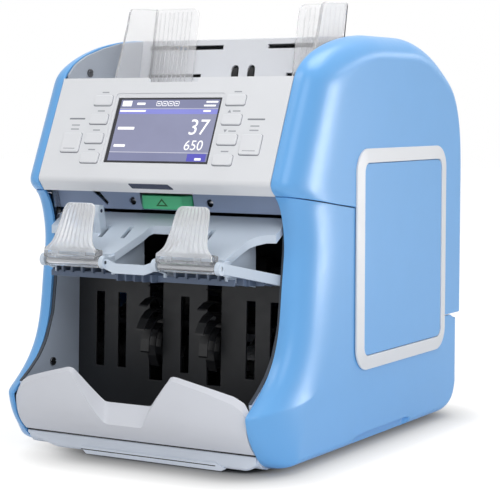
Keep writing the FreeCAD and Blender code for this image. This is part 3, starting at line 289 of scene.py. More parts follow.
def front_plane(y: float) -> Plane:
    """Upright plane of width and height that faces the front."""
    return Plane((0.0, y, 0.0), (1.0, 0.0, 0.0), (0.0, 0.0, 1.0), (0.0, -1.0, 0.0))


@dataclass(frozen=True)
class Plate:
    """Sizes of a plate: its corners and their radius, its heights over a plane and its upper edge."""

    corners: tuple[Flat, ...]
    radius: float | tuple[float, ...]
    heights: Flat
    edge: float = 0.0
    steps: int = 3
    corner_steps: int = 5


PANEL_TOP = (-99.5, 298.3)
CREASE = (-135.5, 217.0)
PANEL_DEGREES = math.degrees(math.atan2(PANEL_TOP[1] - CREASE[1], PANEL_TOP[0] - CREASE[0]))
PANEL = sloped_plane(0.0, *CREASE, PANEL_DEGREES)
HOPPER = sloped_plane(0.0, 5.2, 301.5, 78.4)


# Meshes


def to_frame(points: Array) -> Array:
    """Frame metres of casing millimetres."""
    return (points - (0.0, MIDDLE_Y, 0.0)) * MM


def linked(name: str, data: bpy.types.ID) -> Piece:
    """Make an object at the origin and link it to the scene.

    Args:
        name: the object's name.
        data: its mesh, curve, lamp or camera.

    Returns:
        The object.
    """
    piece = bpy.data.objects.new(name, data)
    bpy.context.scene.collection.objects.link(piece)
    return piece


@contextmanager
def opened(mesh: bpy.types.Mesh) -> Iterator[bmesh.types.BMesh]:
    """Open a mesh for work on its faces and write it back afterwards.

    Args:
        mesh: the mesh.

    Yields:
        The open mesh.
    """
    work = bmesh.new()
    work.from_mesh(mesh)
    yield work
    work.to_mesh(mesh)
    work.free()


class Patchwork:
    """Computed surfaces gathered into one mesh. A method that adds a surface returns the patchwork."""

    def __init__(self) -> None:
        """Start with no surface."""
        self.points: list[Array] = []
        self.faces: list[list[int]] = []
        self.count = 0

    def _keep(self, points: Array) -> Array:
        """Keep points for the mesh.

        Args:
            points: places in the casing.

        Returns:
            The points' numbers in the mesh.
        """
        first = self.count
        self.points.append(points.reshape(-1, 3))
        self.count += len(self.points[-1])
        return np.arange(first, self.count)

    def grid(self, points: Array, close_rows: bool = False, close_columns: bool = False) -> "Patchwork":
        """Add a grid of four-sided faces.

        Args:
            points: rows by columns by 3.
            close_rows: join the last row to the first.
            close_columns: join the last column to the first.

        Returns:
            This patchwork.
        """
        number = self._keep(points).reshape(points.shape[:2])
        if close_rows:
            number = np.concatenate([number, number[:1]])
        if close_columns:
            number = np.concatenate([number, number[:, :1]], axis=1)
        corners = (number[:-1, :-1], number[:-1, 1:], number[1:, 1:], number[1:, :-1])
        self.faces += np.stack(corners, axis=-1).reshape(-1, 4).tolist()
        return self

    def cap(self, ring: Array) -> "Patchwork":
        """Add one flat face with the ring as its border."""
        self.faces.append(self._keep(ring).tolist())
        return self

    def tube(self, points: Array) -> "Patchwork":
        """Add a closed section carried along the rows, with a flat face at both ends."""
        return self.grid(points, close_columns=True).cap(points[0]).cap(points[-1])

    def loop(self, points: Array) -> "Patchwork":
        """Add a closed section carried round a closed path."""
        return self.grid(points, close_rows=True, close_columns=True)

    def border(self, plane: Plane, profile: Sequence[tuple[Array, float]]) -> "Patchwork":
        """Add a closed border on a plane: each point of its profile is one outline at one height."""
        return self.loop(np.stack([plane.place(*outline.T, height) for outline, height in profile]))

    def slab(self, plane: Plane, outline: Array, low: float, high: float, edge: float = 0.0,
             steps: int = 3) -> "Patchwork":
        """Add a plate: an outline carried out of a plane, its upper edge rounded by a quarter circle.

        At angle a of the quarter circle the outline is inset by edge*(1-cos a) at height high-edge*(1-sin a).

        Args:
            plane: drawing plane.
            outline: closed outline in the plane, anticlockwise.
            low: height of the lower face.
            high: height of the upper face.
            edge: radius of the upper edge.
            steps: spans of the quarter circle.

        Returns:
            This patchwork.
        """
        turn = np.linspace(0, math.pi / 2, steps + 1) if edge > 0 else np.zeros(1)
        depths = np.concatenate([[0.0], edge * (1 - np.cos(turn))])
        heights = np.concatenate([[low], high - edge * (1 - np.sin(turn))])
        rings = [plane.place(*inset(outline, depth).T, height) for depth, height in zip(depths, heights)]
        return self.tube(np.stack(rings))

    def plate(self, plane: Plane, plate: Plate, u: float = 0.0, v: float = 0.0) -> "Patchwork":
        """Add a plate by its sizes, moved across and along its plane."""
        outline = rounded(plate.corners, plate.radius, plate.corner_steps) + (u, v)
        return self.slab(plane, outline, *plate.heights, plate.edge, plate.steps)

    def lathe(self, profile: Array, y: float, z: float, steps: int) -> "Patchwork":
        """Add a closed profile turned about an axis along X.

        Args:
            profile: points of x and radius.
            y: depth of the axis.
            z: height of the axis.
            steps: spans round the axis.

        Returns:
            This patchwork.
        """
        turn = np.linspace(0, 2 * math.pi, steps, endpoint=False)[:, None]
        x, radius = profile[:, 0] + 0 * turn, profile[:, 1]
        return self.loop(np.stack([x, y + radius * np.cos(turn), z + radius * np.sin(turn)], axis=-1))

    def mirrored(self) -> "Patchwork":
        """Mirror the surfaces in the machine's middle plane.

        Returns:
            A new patchwork.
        """
        other = Patchwork()
        other.points = [points * (-1.0, 1.0, 1.0) for points in self.points]
        other.faces = [face[::-1] for face in self.faces]
        other.count = self.count
        return other

    def paired(self) -> "Patchwork":
        """Join the surfaces with their mirror image.

        Returns:
            A new patchwork.
        """
        both = self.mirrored()
        both.points = self.points + both.points
        both.faces = self.faces + [[number + self.count for number in face] for face in both.faces]
        both.count += self.count
        return both

    def mesh(self, name: str, closed: bool = True) -> Piece:
        """Make an object in the frame's metres.

        Args:
            name: the piece's name.
            closed: whether the surface is closed, so that its faces can be turned outwards.

        Returns:
            The new object, at the origin.
        """
        mesh = bpy.data.meshes.new(name)
        mesh.from_pydata(to_frame(np.concatenate(self.points)).tolist(), [], self.faces)
        weld(mesh, closed)
        return linked(name, mesh)


def weld(mesh: bpy.types.Mesh, closed: bool = True) -> None:
    """Merge a mesh's doubled points and, on a closed one, turn its faces outwards.

    Args:
        mesh: the mesh.
        closed: whether its surface is closed.
    """
    with opened(mesh) as work:
        bmesh.ops.remove_doubles(work, verts=work.verts, dist=SAME_PLACE)
        bmesh.ops.dissolve_degenerate(work, edges=work.edges, dist=SAME_PLACE / 2)
        if closed:
            bmesh.ops.recalc_face_normals(work, faces=work.faces)


def soft_edges(piece: Piece, width: float, degrees: float = 35.0, segments: int = 2) -> None:
    """Round a piece's sharp edges.

    Args:
        piece: the piece.
        width: width of the rounding in millimetres.
        degrees: edges sharper than this are rounded.
        segments: faces across the rounding.
    """
    modifier = piece.modifiers.new("soft_edges", "BEVEL")
    modifier.width = width * MM
    modifier.segments = segments
    modifier.limit_method = "ANGLE"
    modifier.angle_limit = math.radians(degrees)
    modifier.miter_outer = "MITER_ARC"


def round_line(piece: Piece, y: float, z: float, width: float, near: float = 0.3, segments: int = 5) -> None:
    """Round a piece's edges that run along X through one casing point of its section.

    Args:
        piece: the piece, before its other modifiers.
        y: casing depth of the edges.
        z: casing height of the edges.
        width: width of the rounding on both sides, in millimetres.
        near: how far from the line a point of such an edge may lie, in millimetres.
        segments: faces across the rounding.
    """
    along, up = (y - MIDDLE_Y) * MM, z * MM
    with opened(piece.data) as work:
        away = {point: math.hypot(point.co.y - along, point.co.z - up) for point in work.verts}
        edges = [edge for edge in work.edges if max(away[point] for point in edge.verts) < near * MM]
        bmesh.ops.bevel(work, geom=edges, offset=width * MM, segments=segments, profile=0.5, affect="EDGES")


def seen_mesh(piece: Piece) -> bpy.types.Mesh:
    """Mesh of an object as its modifiers show it."""
    bpy.context.view_layer.update()
    return bpy.data.meshes.new_from_object(piece.evaluated_get(bpy.context.evaluated_depsgraph_get()))


def bake(piece: Piece) -> None:
    """Turn a piece's modifiers into its mesh.

    Args:
        piece: the piece.
    """
    mesh = seen_mesh(piece)
    piece.modifiers.clear()
    piece.data = mesh


def settle(piece: Piece, sharp_degrees: float = 38.0) -> None:
    """Bake a piece and shade it smooth, with large faces kept flat to the eye.

    Args:
        piece: the piece.
        sharp_degrees: edges sharper than this stay sharp.
    """
    bake(piece)
    piece.data.polygons.foreach_set("use_smooth", np.ones(len(piece.data.polygons), bool))
    piece.data.set_sharp_from_angle(angle=math.radians(sharp_degrees))
    modifier = piece.modifiers.new("even_light", "WEIGHTED_NORMAL")
    modifier.keep_sharp = True
    bake(piece)
    piece.data.update()


def node_copy(node: str, flat_degrees: float = 0.6) -> Piece:
    """Copy a frame node's mesh, merged and with its flat faces whole again.

    Args:
        node: the frame node.
        flat_degrees: faces that meet at less than this become one.

    Returns:
        The copy.
    """
    mesh = frame["nodes"][node].data.copy()
    with opened(mesh) as work:
        bmesh.ops.remove_doubles(work, verts=work.verts, dist=SAME_PLACE)
        angle = math.radians(flat_degrees)
        bmesh.ops.dissolve_limit(work, angle_limit=angle, verts=work.verts, edges=work.edges)
    mesh.materials.clear()
    return linked(node + "_dressed", mesh)


# Finishes


def shade(code: str, factor: float = 1.0) -> Colour:
    """Linear colour of an sRGB code: c/12.92 below 0.04045, else ((c+0.055)/1.055)^2.4.

    Args:
        code: six hexadecimal digits.
        factor: how much lighter or darker the colour gets.

    Returns:
        Red, green, blue and a full alpha.
    """
    values = np.frombuffer(bytes.fromhex(code), np.uint8) / 255
    low, high = values / 12.92, ((values + 0.055) / 1.055) ** 2.4
    colour = np.minimum(np.where(values <= 0.04045, low, high) * factor, 1.0)
    return (*colour.tolist(), 1.0)


def fill(node: bpy.types.Node, inputs: dict[str | int, object]) -> None:
    """Set a node's inputs.

    Args:
        node: the node.
        inputs: a value or another node's output for each input.
    """
    for name, source in inputs.items():
        if isinstance(source, Socket):
            node.id_data.links.new(source, node.inputs[name])
        else:
            node.inputs[name].default_value = source


def add_node(tree: bpy.types.NodeTree, kind: str, inputs: dict[str | int, object],
             **settings: str) -> bpy.types.Node:
    """Add a shader node.

    Args:
        tree: the tree that it joins.
        kind: its type, without the words that all shader nodes share.
        inputs: a value or another node's output for each input.
        settings: its other settings.

    Returns:
        The node.
    """
    node = tree.nodes.new("ShaderNode" + kind)
    for name, value in settings.items():
        setattr(node, name, value)
    fill(node, inputs)
    return node


class Shader:
    """Nodes of one material."""

    def __init__(self, name: str) -> None:
        """Start a material with a plain principled surface.

        Args:
            name: the material's name.
        """
        self.material = bpy.data.materials.new(name)
        self.material.use_nodes = True
        self.tree = self.material.node_tree
        self.surface = self.tree.nodes["Principled BSDF"]
        self.coordinates = add_node(self.tree, "TexCoord", {}).outputs["Object"]

    def noise(self, scale: float, detail: float = 3.0, stretch: Point = (1.0, 1.0, 1.0)) -> Socket:
        """Noise on object coordinates.

        Args:
            scale: features are about 1/scale metres across.
            detail: octaves of finer noise.
            stretch: scale along each axis.

        Returns:
            The noise.
        """
        mapping = add_node(self.tree, "Mapping", {"Vector": self.coordinates, "Scale": stretch})
        inputs = {"Vector": mapping.outputs["Vector"], "Scale": scale, "Detail": detail}
        return add_node(self.tree, "TexNoise", inputs).outputs["Fac"]

    def spread(self, source: Socket, low: float = 0.0, high: float = 1.0) -> Socket:
        """A noise's middle range spread over low to high."""
        ends = {"From Min": NOISE_LOW, "From Max": NOISE_HIGH, "To Min": low, "To Max": high}
        return add_node(self.tree, "MapRange", {"Value": source, **ends}).outputs["Result"]

    def about(self, source: Socket, middle: float, share: float) -> Socket:
        """A noise's middle range spread about a value, by a share of it to both sides."""
        return self.spread(source, middle * (1 - share), middle * (1 + share))

    def mixed(self, share: Socket, first: Colour, second: Colour) -> Socket:
        """Mix two colours.

        Args:
            share: share of the second colour.
            first: the first colour.
            second: the second colour.

        Returns:
            The mixed colour.
        """
        node = add_node(self.tree, "Mix", {"Factor": share}, data_type="RGBA")
        colours_in = [socket for socket in node.inputs if socket.type == "RGBA"]
        colours_in[0].default_value = first
        colours_in[1].default_value = second
        return next(socket for socket in node.outputs if socket.type == "RGBA")

    def attribute(self, name: str) -> Socket:
        """A float attribute of the mesh."""
        return add_node(self.tree, "Attribute", {}, attribute_name=name).outputs["Fac"]

    def bump(self, source: Socket, strength: float, depth: float) -> None:
        """Let a pattern raise the surface by a depth in millimetres."""
        node = add_node(self.tree, "Bump", {"Height": source, "Strength": strength, "Distance": depth * MM})
        fill(self.surface, {"Normal": node.outputs["Normal"]})


@dataclass(frozen=True)
class Moulded:
    """Opaque moulded plastic or rubber: an even colour with a fine moulding grain, or with painted shade
    where a mesh attribute marks it.
    """

    name: str
    slot: str
    colour: str
    roughness: float = 0.45
    tone: float = 0.03
    grain: float = 0.45
    grain_depth: float = 0.02
    grain_strength: float = 0.25
    shine: float = 0.5
    painted_shade: str = ""
    drift_scale: float = 22.0
    cloud_scale: float = 140.0
    cloud: float = 0.08

    def material(self) -> bpy.types.Material:
        """Nodes: slow tone drift or painted shade in the colour, cloudy roughness and a grain bump.

        Returns:
            The material.
        """
        shader = Shader(self.name)
        if self.painted_shade:
            # painted shade: the depth attribute mixes the colour towards a darker one where the part lies in
            # shade
            colour = shader.mixed(shader.attribute("depth"), shade(self.colour), shade(self.painted_shade))
        else:
            dark, light = shade(self.colour, 1 - self.tone), shade(self.colour, 1 + self.tone)
            colour = shader.mixed(shader.spread(shader.noise(self.drift_scale)), dark, light)
        cloud = shader.about(shader.noise(self.cloud_scale), self.roughness, self.cloud)
        fill(shader.surface, {"Base Color": colour, "Roughness": cloud, "Specular IOR Level": self.shine})
        shader.bump(shader.noise(1.0 / (self.grain * MM), 2.0), self.grain_strength, self.grain_depth)
        return shader.material


@dataclass(frozen=True)
class Clear:
    """Clear polished plastic with faint flow marks."""

    name: str
    slot: str
    colour: str
    roughness: float
    haze: float
    bend: float
    flow_scale: float = 60.0
    flow_stretch: Point = (1.0, 1.0, 0.25)
    flow: float = 0.4
    ripple_scale: float = 220.0
    ripple_stretch: Point = (1.0, 1.0, 0.3)
    ripple_strength: float = 0.15
    ripple_depth: float = 0.05

    def material(self) -> bpy.types.Material:
        """Nodes: a clear transmitting surface with flow marks in roughness and bump.

        Returns:
            The material.
        """
        shader = Shader(self.name)
        flow = shader.noise(self.flow_scale, stretch=self.flow_stretch)
        flow = shader.about(flow, self.roughness, self.flow)
        fill(shader.surface, {"Base Color": shade(self.colour), "Roughness": flow})
        fill(shader.surface, {"Transmission Weight": 1.0 - self.haze, "IOR": self.bend})
        ripple = shader.noise(self.ripple_scale, 2.0, self.ripple_stretch)
        shader.bump(ripple, self.ripple_strength, self.ripple_depth)
        return shader.material


@dataclass(frozen=True)
class Metal:
    """Plated or brushed metal with lines along X."""

    name: str
    slot: str
    colour: str
    roughness: float = 0.32
    tone: float = 0.1
    drift_scale: float = 35.0
    line_scale: float = 900.0
    line_stretch: Point = (0.05, 1.0, 1.0)
    line: float = 0.25
    line_strength: float = 0.2
    line_depth: float = 0.01

    def material(self) -> bpy.types.Material:
        """Nodes: stretched noise in roughness and bump, a slow tone drift in the colour.

        Returns:
            The material.
        """
        shader = Shader(self.name)
        drift = shader.spread(shader.noise(self.drift_scale))
        colour = shader.mixed(drift, shade(self.colour, 1 - self.tone), shade(self.colour))
        lines = shader.noise(self.line_scale, 2.0, self.line_stretch)
        brushed = shader.about(lines, self.roughness, self.line)
        fill(shader.surface, {"Base Color": colour, "Roughness": brushed, "Metallic": 1.0})
        shader.bump(lines, self.line_strength, self.line_depth)
        return shader.material


@dataclass(frozen=True)
class Lit:
    """A lit field of the display."""

    name: str
    slot: str
    colour: str
    glow: float = 0.62
    roughness: float = 0.3
    cloud_scale: float = 40.0
    unlit: Flat = (0.3, 0.36)
    dimmed: float = 0.97

    def material(self) -> bpy.types.Material:
        """Nodes: a dark glossy surface that glows in its colour, dimmed by a faint cloud.

        Returns:
            The material.
        """
        shader = Shader(self.name)
        cloud = shader.spread(shader.noise(self.cloud_scale))
        surface = shader.mixed(cloud, *(shade(self.colour, factor) for factor in self.unlit))
        light = shader.mixed(cloud, shade(self.colour, self.dimmed), shade(self.colour))
        fill(shader.surface, {"Base Color": surface, "Emission Color": light})
        fill(shader.surface, {"Emission Strength": self.glow, "Roughness": self.roughness})
        return shader.material


Finish = Moulded | Clear | Metal | Lit

CASING_BLUE = Moulded("casing_blue", "casing_blue", "6CAEEA", 0.3, 0.012, grain_strength=0.05, shine=0.4)
PANEL_WHITE = Moulded("panel_white", "panel_white", "E4E6EA", 0.5, 0.012)
RING_WHITE = Moulded("ring_white", "panel_white", "E0E2E6", 0.42, 0.012)
TRAY_GREY = Moulded("tray_grey", "tray_grey", "D6D9E1", 0.55, 0.015)
PLINTH_GREY = Moulded("plinth_grey", "panel_white", "E3EBF7", 0.5, 0.015)
LINER_GREY = Moulded("liner_grey", "liner_grey", "CCD9EC", 0.55, 0.03)
# painted shade: the tray's plastic, darkened as if in the shadow under the tray
LATTICE_GREY_PAINTED_SHADE = Moulded("lattice_grey", "reject_grey", "5A687F", 0.5, 0.03)
# painted shadow: dark strip standing for the shade in the gap at the liners' front edge
LINER_EDGE_PAINTED_SHADOW = Moulded("trim_grey", "dark_plastic", "3A414C", 0.6, 0.03)
STRIP_GREY = Moulded("strip_grey", "liner_grey", "8C9CBA", 0.5, 0.03)
CHEEK_GREY = Moulded("cheek_grey", "tray_grey", "A9B0BA", 0.5, 0.02)
REJECT_GREY = Moulded("reject_grey", "reject_grey", "CDD9E7", 0.42, 0.02)
# painted shade: the tray's ribs darken towards 4A586E with their depth under the plate
RIBBED_GREY_PAINTED_SHADE = Moulded("ribbed_grey", "reject_grey", "CDD9E7", 0.42, painted_shade="4A586E")
DARK = Moulded("dark_plastic", "dark_plastic", "1B1D21", 0.5, 0.08)
WHEEL_BLACK = Moulded("wheel_black", "dark_plastic", "141518", 0.42, 0.08)
LEVER_GREEN = Moulded("lever_green", "lever_green", "47B985", 0.4, 0.03)
LEVER_LINE = Moulded("lever_line", "lever_green", "0A5A2A", 0.45, 0.03)
KEY_GREY = Moulded("key_grey", "key_grey", "E5E7EB", 0.45, 0.012)
PRINT_GREY = Moulded("print_grey", "key_grey", "A4A7AE", 0.55, 0.02)
# painted shadow: the keys' gaps darkened, more at their foot
KEY_GAP_SHADOW_GREY = Moulded("gap_grey", "key_grey", "8E9199", 0.6, 0.02)
LAMP_GREY = Moulded("lamp_grey", "key_grey", "858990", 0.35, 0.02)
SENSOR_DARK = Moulded("sensor_dark", "sensor_black", "3E4358", 0.25, 0.04)
RUBBER = Moulded("rubber", "rubber", "191A1C", 0.75, 0.1, grain=0.8, grain_depth=0.05)
BOARD_GREEN = Moulded("board_green", "circuit_board", "1E6B3F", 0.4, 0.08)
ACETAL = Moulded("acetal", "pinion_white", "E4E1D6", 0.45, 0.02)
CLEAR_GUIDE = Clear("clear_guide", "clear_plastic", "FDFDFE", 0.05, 0.24, 1.22)
CLEAR_FINGER = Clear("clear_finger", "clear_plastic", "FAFBFD", 0.08, 0.42, 1.3)
CLEAR_BASE = Clear("clear_base", "clear_plastic", "FAFBFD", 0.03, 0.1, 1.42)
STEEL = Metal("zinc_steel", "steel", "B9BBBE")
SCREW_STEEL = Metal("screw_steel", "steel", "6A6B6E", 0.35)
SCREEN_FIELD = Lit("screen_field", "screen_glass", "9497B6")
SCREEN_HEAD = Lit("screen_head", "screen_glass", "8589AC")
SCREEN_BAR = Lit("screen_bar", "screen_glass", "8F93E6")
SCREEN_BUTTON = Lit("screen_button", "screen_glass", "5B58C6")
SCREEN_WHITE = Lit("screen_white", "screen_glass", "FFFFFF", 0.85)
SCREEN_LINE = Lit("screen_line", "screen_glass", "D9DAE8")
SCREEN_BLACK = Moulded("screen_black", "sensor_black", "23242B", 0.3, 0.05)


@cache
def material_of(finish: Finish) -> bpy.types.Material:
    """Material of a finish, made at its first use."""
    return finish.material()


class Assembly:
    """A part of the machine that makes and dresses its own pieces."""

    def dress(self, piece: Piece, finish: Finish, body: Body | str, *nodes: str) -> Piece:
        """Finish a piece, set it on a body and let it stand for frame nodes.

        Args:
            piece: the settled piece.
            finish: its finish.
            body: the body that it rides on.
            nodes: frame nodes that it stands for.

        Returns:
            The piece.
        """
        piece.data.materials.clear()
        piece.data.materials.append(material_of(finish))
        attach(piece, body.value if isinstance(body, Body) else body)
        if nodes:
            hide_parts(*nodes)
        LOG.info("%s: %d faces, %s", piece.name, len(piece.data.polygons), finish.name)
        return piece

    def make(self, name: str, patch: Patchwork, finish: Finish, body: Body | str, *nodes: str) -> None:
        """Turn closed surfaces into a settled and dressed piece.

        Args:
            name: the piece's name.
            patch: its surfaces.
            finish: its finish.
            body: the body that it rides on.
            nodes: frame nodes that it stands for.
        """
        piece = patch.mesh(name)
        settle(piece)
        self.dress(piece, finish, body, *nodes)

    def softened(self, node: str, finish: Finish, width: float) -> Piece:
        """Put a copy with rounded edges in a frame node's place.

        Args:
            node: the frame node.
            finish: its finish.
            width: width of the rounded edges in millimetres.

        Returns:
            The new piece.
        """
        piece = node_copy(node)
        soft_edges(piece, width)
        settle(piece)
        return self.dress(piece, finish, frame["nodes"][node]["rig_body"], node)

    def node(self, node: str, finish: Finish) -> None:
        """Give a frame node that keeps its shape a better material.

        Args:
            node: the frame node.
            finish: its finish.
        """
        for slot in frame["nodes"][node].material_slots:
            slot.material = material_of(finish)
        LOG.info("%s keeps its shape, %s", node, finish.name)


# Casing


@dataclass
class SideCovers(Assembly):
    """Dished covers at both sides, parted by a seam into an upper and a lower one."""

    half_opening: float = 109.0
    half_width: float = 131.0
    lower_half_width: float = 130.4
    rear_upper: float = 175.5
    rear_lower: float = 168.2
    top: float = 333.0
    front_draw: float = 60.0
    rear_draw: float = -13.0
    thickness: float = 2.5
    edge: float = 0.5
    edge_degrees: float = 55.0
    step: float = 2.4
    rows: int = 21
    seam_fall: float = -8.2
    hold: Flat = (-45.0, 63.0)
    hold_depth: float = 4.9
    hold_ease: float = 9.0
    hold_rise: float = 1.8
    foot_height: float = 12.0
    seam_upper: tuple[Flat, ...] = ((118.0, 92.5), (-40.0, 196.5))
    seam_lower: tuple[Flat, ...] = ((-40.0, 195.5), (118.0, 91.5), (146.0, 91.5))

    def upper_rim(self) -> Array:
        """Rim of the upper cover from the seam's front round to its rear.

        Returns:
            Rows of y, z, the draw in y and z, and the fullness of the section.
        """
        draw, rear, back = self.front_draw, self.rear_upper, self.rear_draw
        crease, panel_top = (*CREASE, draw, 0, 2.6), (*PANEL_TOP, 50, -12, 2.6)
        lip = [(-128, 208, draw, self.seam_fall, 2.6), (-133.2, 211.6, draw, -4, 2.6), crease]
        brow = [(-86.5, 310.4, 38, -16, 2.2), (-70, 318.4, 28, -19, 2), (-22, 330.2, 6, -22, 2)]
        top_front, top_rear = (14.5, self.top, 0, -22, 2), (66, self.top, 0, -22, 2)
        shoulder = [top_rear, (91, 330, -4, -21, 2), (117, 321.5, -7, -19, 2), (141, 308, -9, -16, 2)]
        shoulder += [(rear - 18, 294.5, -11, -12, 2), (rear - 7.5, 275, -12, -9, 2)]
        shoulder += [(rear - 1.5, 248, back, -3, 2), (rear, 212, back, 0, 2)]
        stretches = [
            spline(lip, (-0.8, 0.6), (0.3, 0.95), 24),
            np.array([crease, panel_top]),
            spline([panel_top] + brow + [top_front], (0.5, 0.86), (1, 0), 70),
            np.array([top_front, top_rear]),
            spline(shoulder, (1, 0), (0, -1), 110),
            np.array([(rear, 212, back, 0, 2), (rear, 92.5, back, 0, 2)]),
        ]
        return eased(even(np.concatenate(stretches).astype(float), self.step), 2)

    def lower_rim(self) -> Array:
        """Rim of the lower cover from the seam's rear, under the foot, to the seam's front.

        Returns:
            Rows of y, z, the draw in y and z, and the fullness of the section.
        """
        draw, rear, back = self.front_draw, self.rear_lower, self.rear_draw
        rear_low, foot_rear = (rear, 34, back, 0, 2), (rear - 40, 4.6, 0, 8, 2.4)
        heel = [(rear - 4, 21, -10, 5, 2), (rear - 12, 12.8, -6, 7, 2.4)]
        foot_front = (-137, 3.4, 10, 8, 2.4)
        toe = [(-148.2, 8.2, 22, 8, 2), (-157, 16.8, 34, 7, 1.8), (-165.1, 27.6, 46, 6, 1.8)]
        toe += [(-170.2, 39.2, 55, 6, 1.8)]
        peak = (-172.3, 46.5, draw, 7, 1.8)
        waist = [(-152.5, 60.7, draw, 0, 2.2), (-131.8, 83, draw, 0, 2.7), (-122.5, 107, draw, 0, 3)]
        waist += [(-117.5, 142, draw, 0, 3), (-114.5, 166, draw, 0, 3), (-117.5, 190, draw, 0, 3)]
        seam = (-128, 207.2, draw, self.seam_fall, 2.6)
        stretches = [
            np.array([(rear, 87.5, back, 0, 2), rear_low]),
            spline([rear_low] + heel + [foot_rear], (0, -1), (-1, 0), 40),
            np.array([foot_rear, foot_front]),
            spline([foot_front] + toe + [peak], (-0.96, 0.3), (-0.3, 0.96), 50),
            spline([peak] + waist + [seam], (0.82, 0.57), (-0.8, 0.6), 120),
        ]
        return eased(even(np.concatenate(stretches).astype(float), self.step), 1)

    def scoop(self, rim: Array) -> Array:
        """Share of the hand hold's depth, eased in and out along the foot by s^2*(3 - 2*s).

        Args:
            rim: rim points.

        Returns:
            The share at every rim point.
        """
        ease = np.minimum(rim[:, 0] - self.hold[0], self.hold[1] - rim[:, 0]) / self.hold_ease
        share = np.clip(ease, 0, 1) * (rim[:, 1] < self.foot_height)
        return share**2 * (3 - 2 * share)

    def dished(self, rim: Array, half_width: float, seam: Sequence[Flat], scoop: Array) -> Patchwork:
        """Cover from its rim out to the flat side: a superellipse drawn in from every rim point.

        At angle a a point of fullness n stands at opening + (width - opening)*sin(a)^(2/n), drawn in by
        draw*(1 - cos(a)^(2/n)). The scoop holds it back from the flat side, whose border is raised there;
        the flat side is closed along the seam.

        Args:
            rim: rim points with their draw and fullness.
            half_width: x of the flat side.
            seam: corners of the seam on the flat side, from the rim's end back to its start.
            scoop: share of the hand hold's depth at every rim point.

        Returns:
            The open outer surface of the right-hand cover.
        """
        angle = np.linspace(0, math.pi / 2, self.rows)[:, None]
        power = 2 / rim[:, 4]
        out, drawn = np.sin(angle) ** power, 1 - np.abs(np.cos(angle)) ** power
        x = self.half_opening + (half_width - self.half_opening) * out
        x = np.minimum(x, half_width - self.hold_depth * scoop)
        surface = np.stack([x, rim[:, 0] + rim[:, 2] * drawn, rim[:, 1] + rim[:, 3] * drawn], axis=-1)
        border = surface[-1] + np.outer(scoop, (0.0, 0.0, self.hold_rise))
        border[:, 0] = half_width
        corners = np.array([(half_width, y, z) for y, z in seam])
        outside = np.concatenate([surface, border[None]])[:, ::-1]
        return Patchwork().grid(outside).cap(np.concatenate([border, corners])[::-1])

    def build(self) -> None:
        """Make all four covers."""
        upper_rim, lower_rim = self.upper_rim(), self.lower_rim()
        upper = self.dished(upper_rim, self.half_width, self.seam_upper, np.zeros(len(upper_rim)))
        lower = self.dished(lower_rim, self.lower_half_width, self.seam_lower, self.scoop(lower_rim))
        for word, patch, body in (("upper_cover_", upper, Body.UPPER), ("lower_cover_", lower, Body.LOWER)):
            for side in Side:
                node = word + side.word
                shape = patch if side is Side.RIGHT else patch.mirrored()
                piece = shape.mesh(node + "_shell", closed=False)
                inner_wall = piece.modifiers.new("wall", "SOLIDIFY")
                inner_wall.thickness = self.thickness * MM
                inner_wall.offset = -1.0
                soft_edges(piece, self.edge, self.edge_degrees)
                settle(piece)
                self.dress(piece, CASING_BLUE, body, node)


@dataclass
class SidePanels(Assembly):
    """Trim rings with the panels inside them, on the flat of the upper covers."""

    y0: float = -39.0
    y1: float = 130.5
    z0: float = 64.5
    z1: float = 242.0
    radius: float = 19.0
    corner_steps: int = 14
    band: float = 11.5
    edge: float = 1.4
    rise: float = 1.5
    face_x: float = 131.0
    panel_gap: float = 0.35
    panel_height: float = 2.2
    panel_edge: float = 0.8

    def outline(self, depth: float) -> Array:
        """Rounded rectangle inset by a depth, (y, z) points in step with every other inset."""
        corner = (self.y0 + depth, self.y1 - depth, self.z0 + depth, self.z1 - depth)
        return rounded_box(*corner, self.radius - depth, self.corner_steps)

    def build(self) -> None:
        """Make both rings, whose profile is carried round the rectangle, and both panels."""
        low, high, band = self.edge, self.edge + self.rise, self.band
        profile = [(0.0, 0.0), (0.0, low - 0.6), (0.2, low - 0.15), (0.7, low + 0.09)]
        profile += [(band - 0.8, high - 0.08), (band - 0.25, high - 0.3), (band, high - 0.9), (band, 0.0)]
        face = side_plane(self.face_x)
        ring = Patchwork().border(face, [(self.outline(depth), height) for depth, height in profile])
        self.make("trim_rings_pair", ring.paired(), RING_WHITE, Body.UPPER, "trim_rings")
        outline = self.outline(band + self.panel_gap)
        panel = Patchwork().slab(face, outline, 0.0, self.panel_height, self.panel_edge)
        self.make("side_panels_pair", panel.paired(), CASING_BLUE, Body.UPPER, "side_panels")


# Control panel


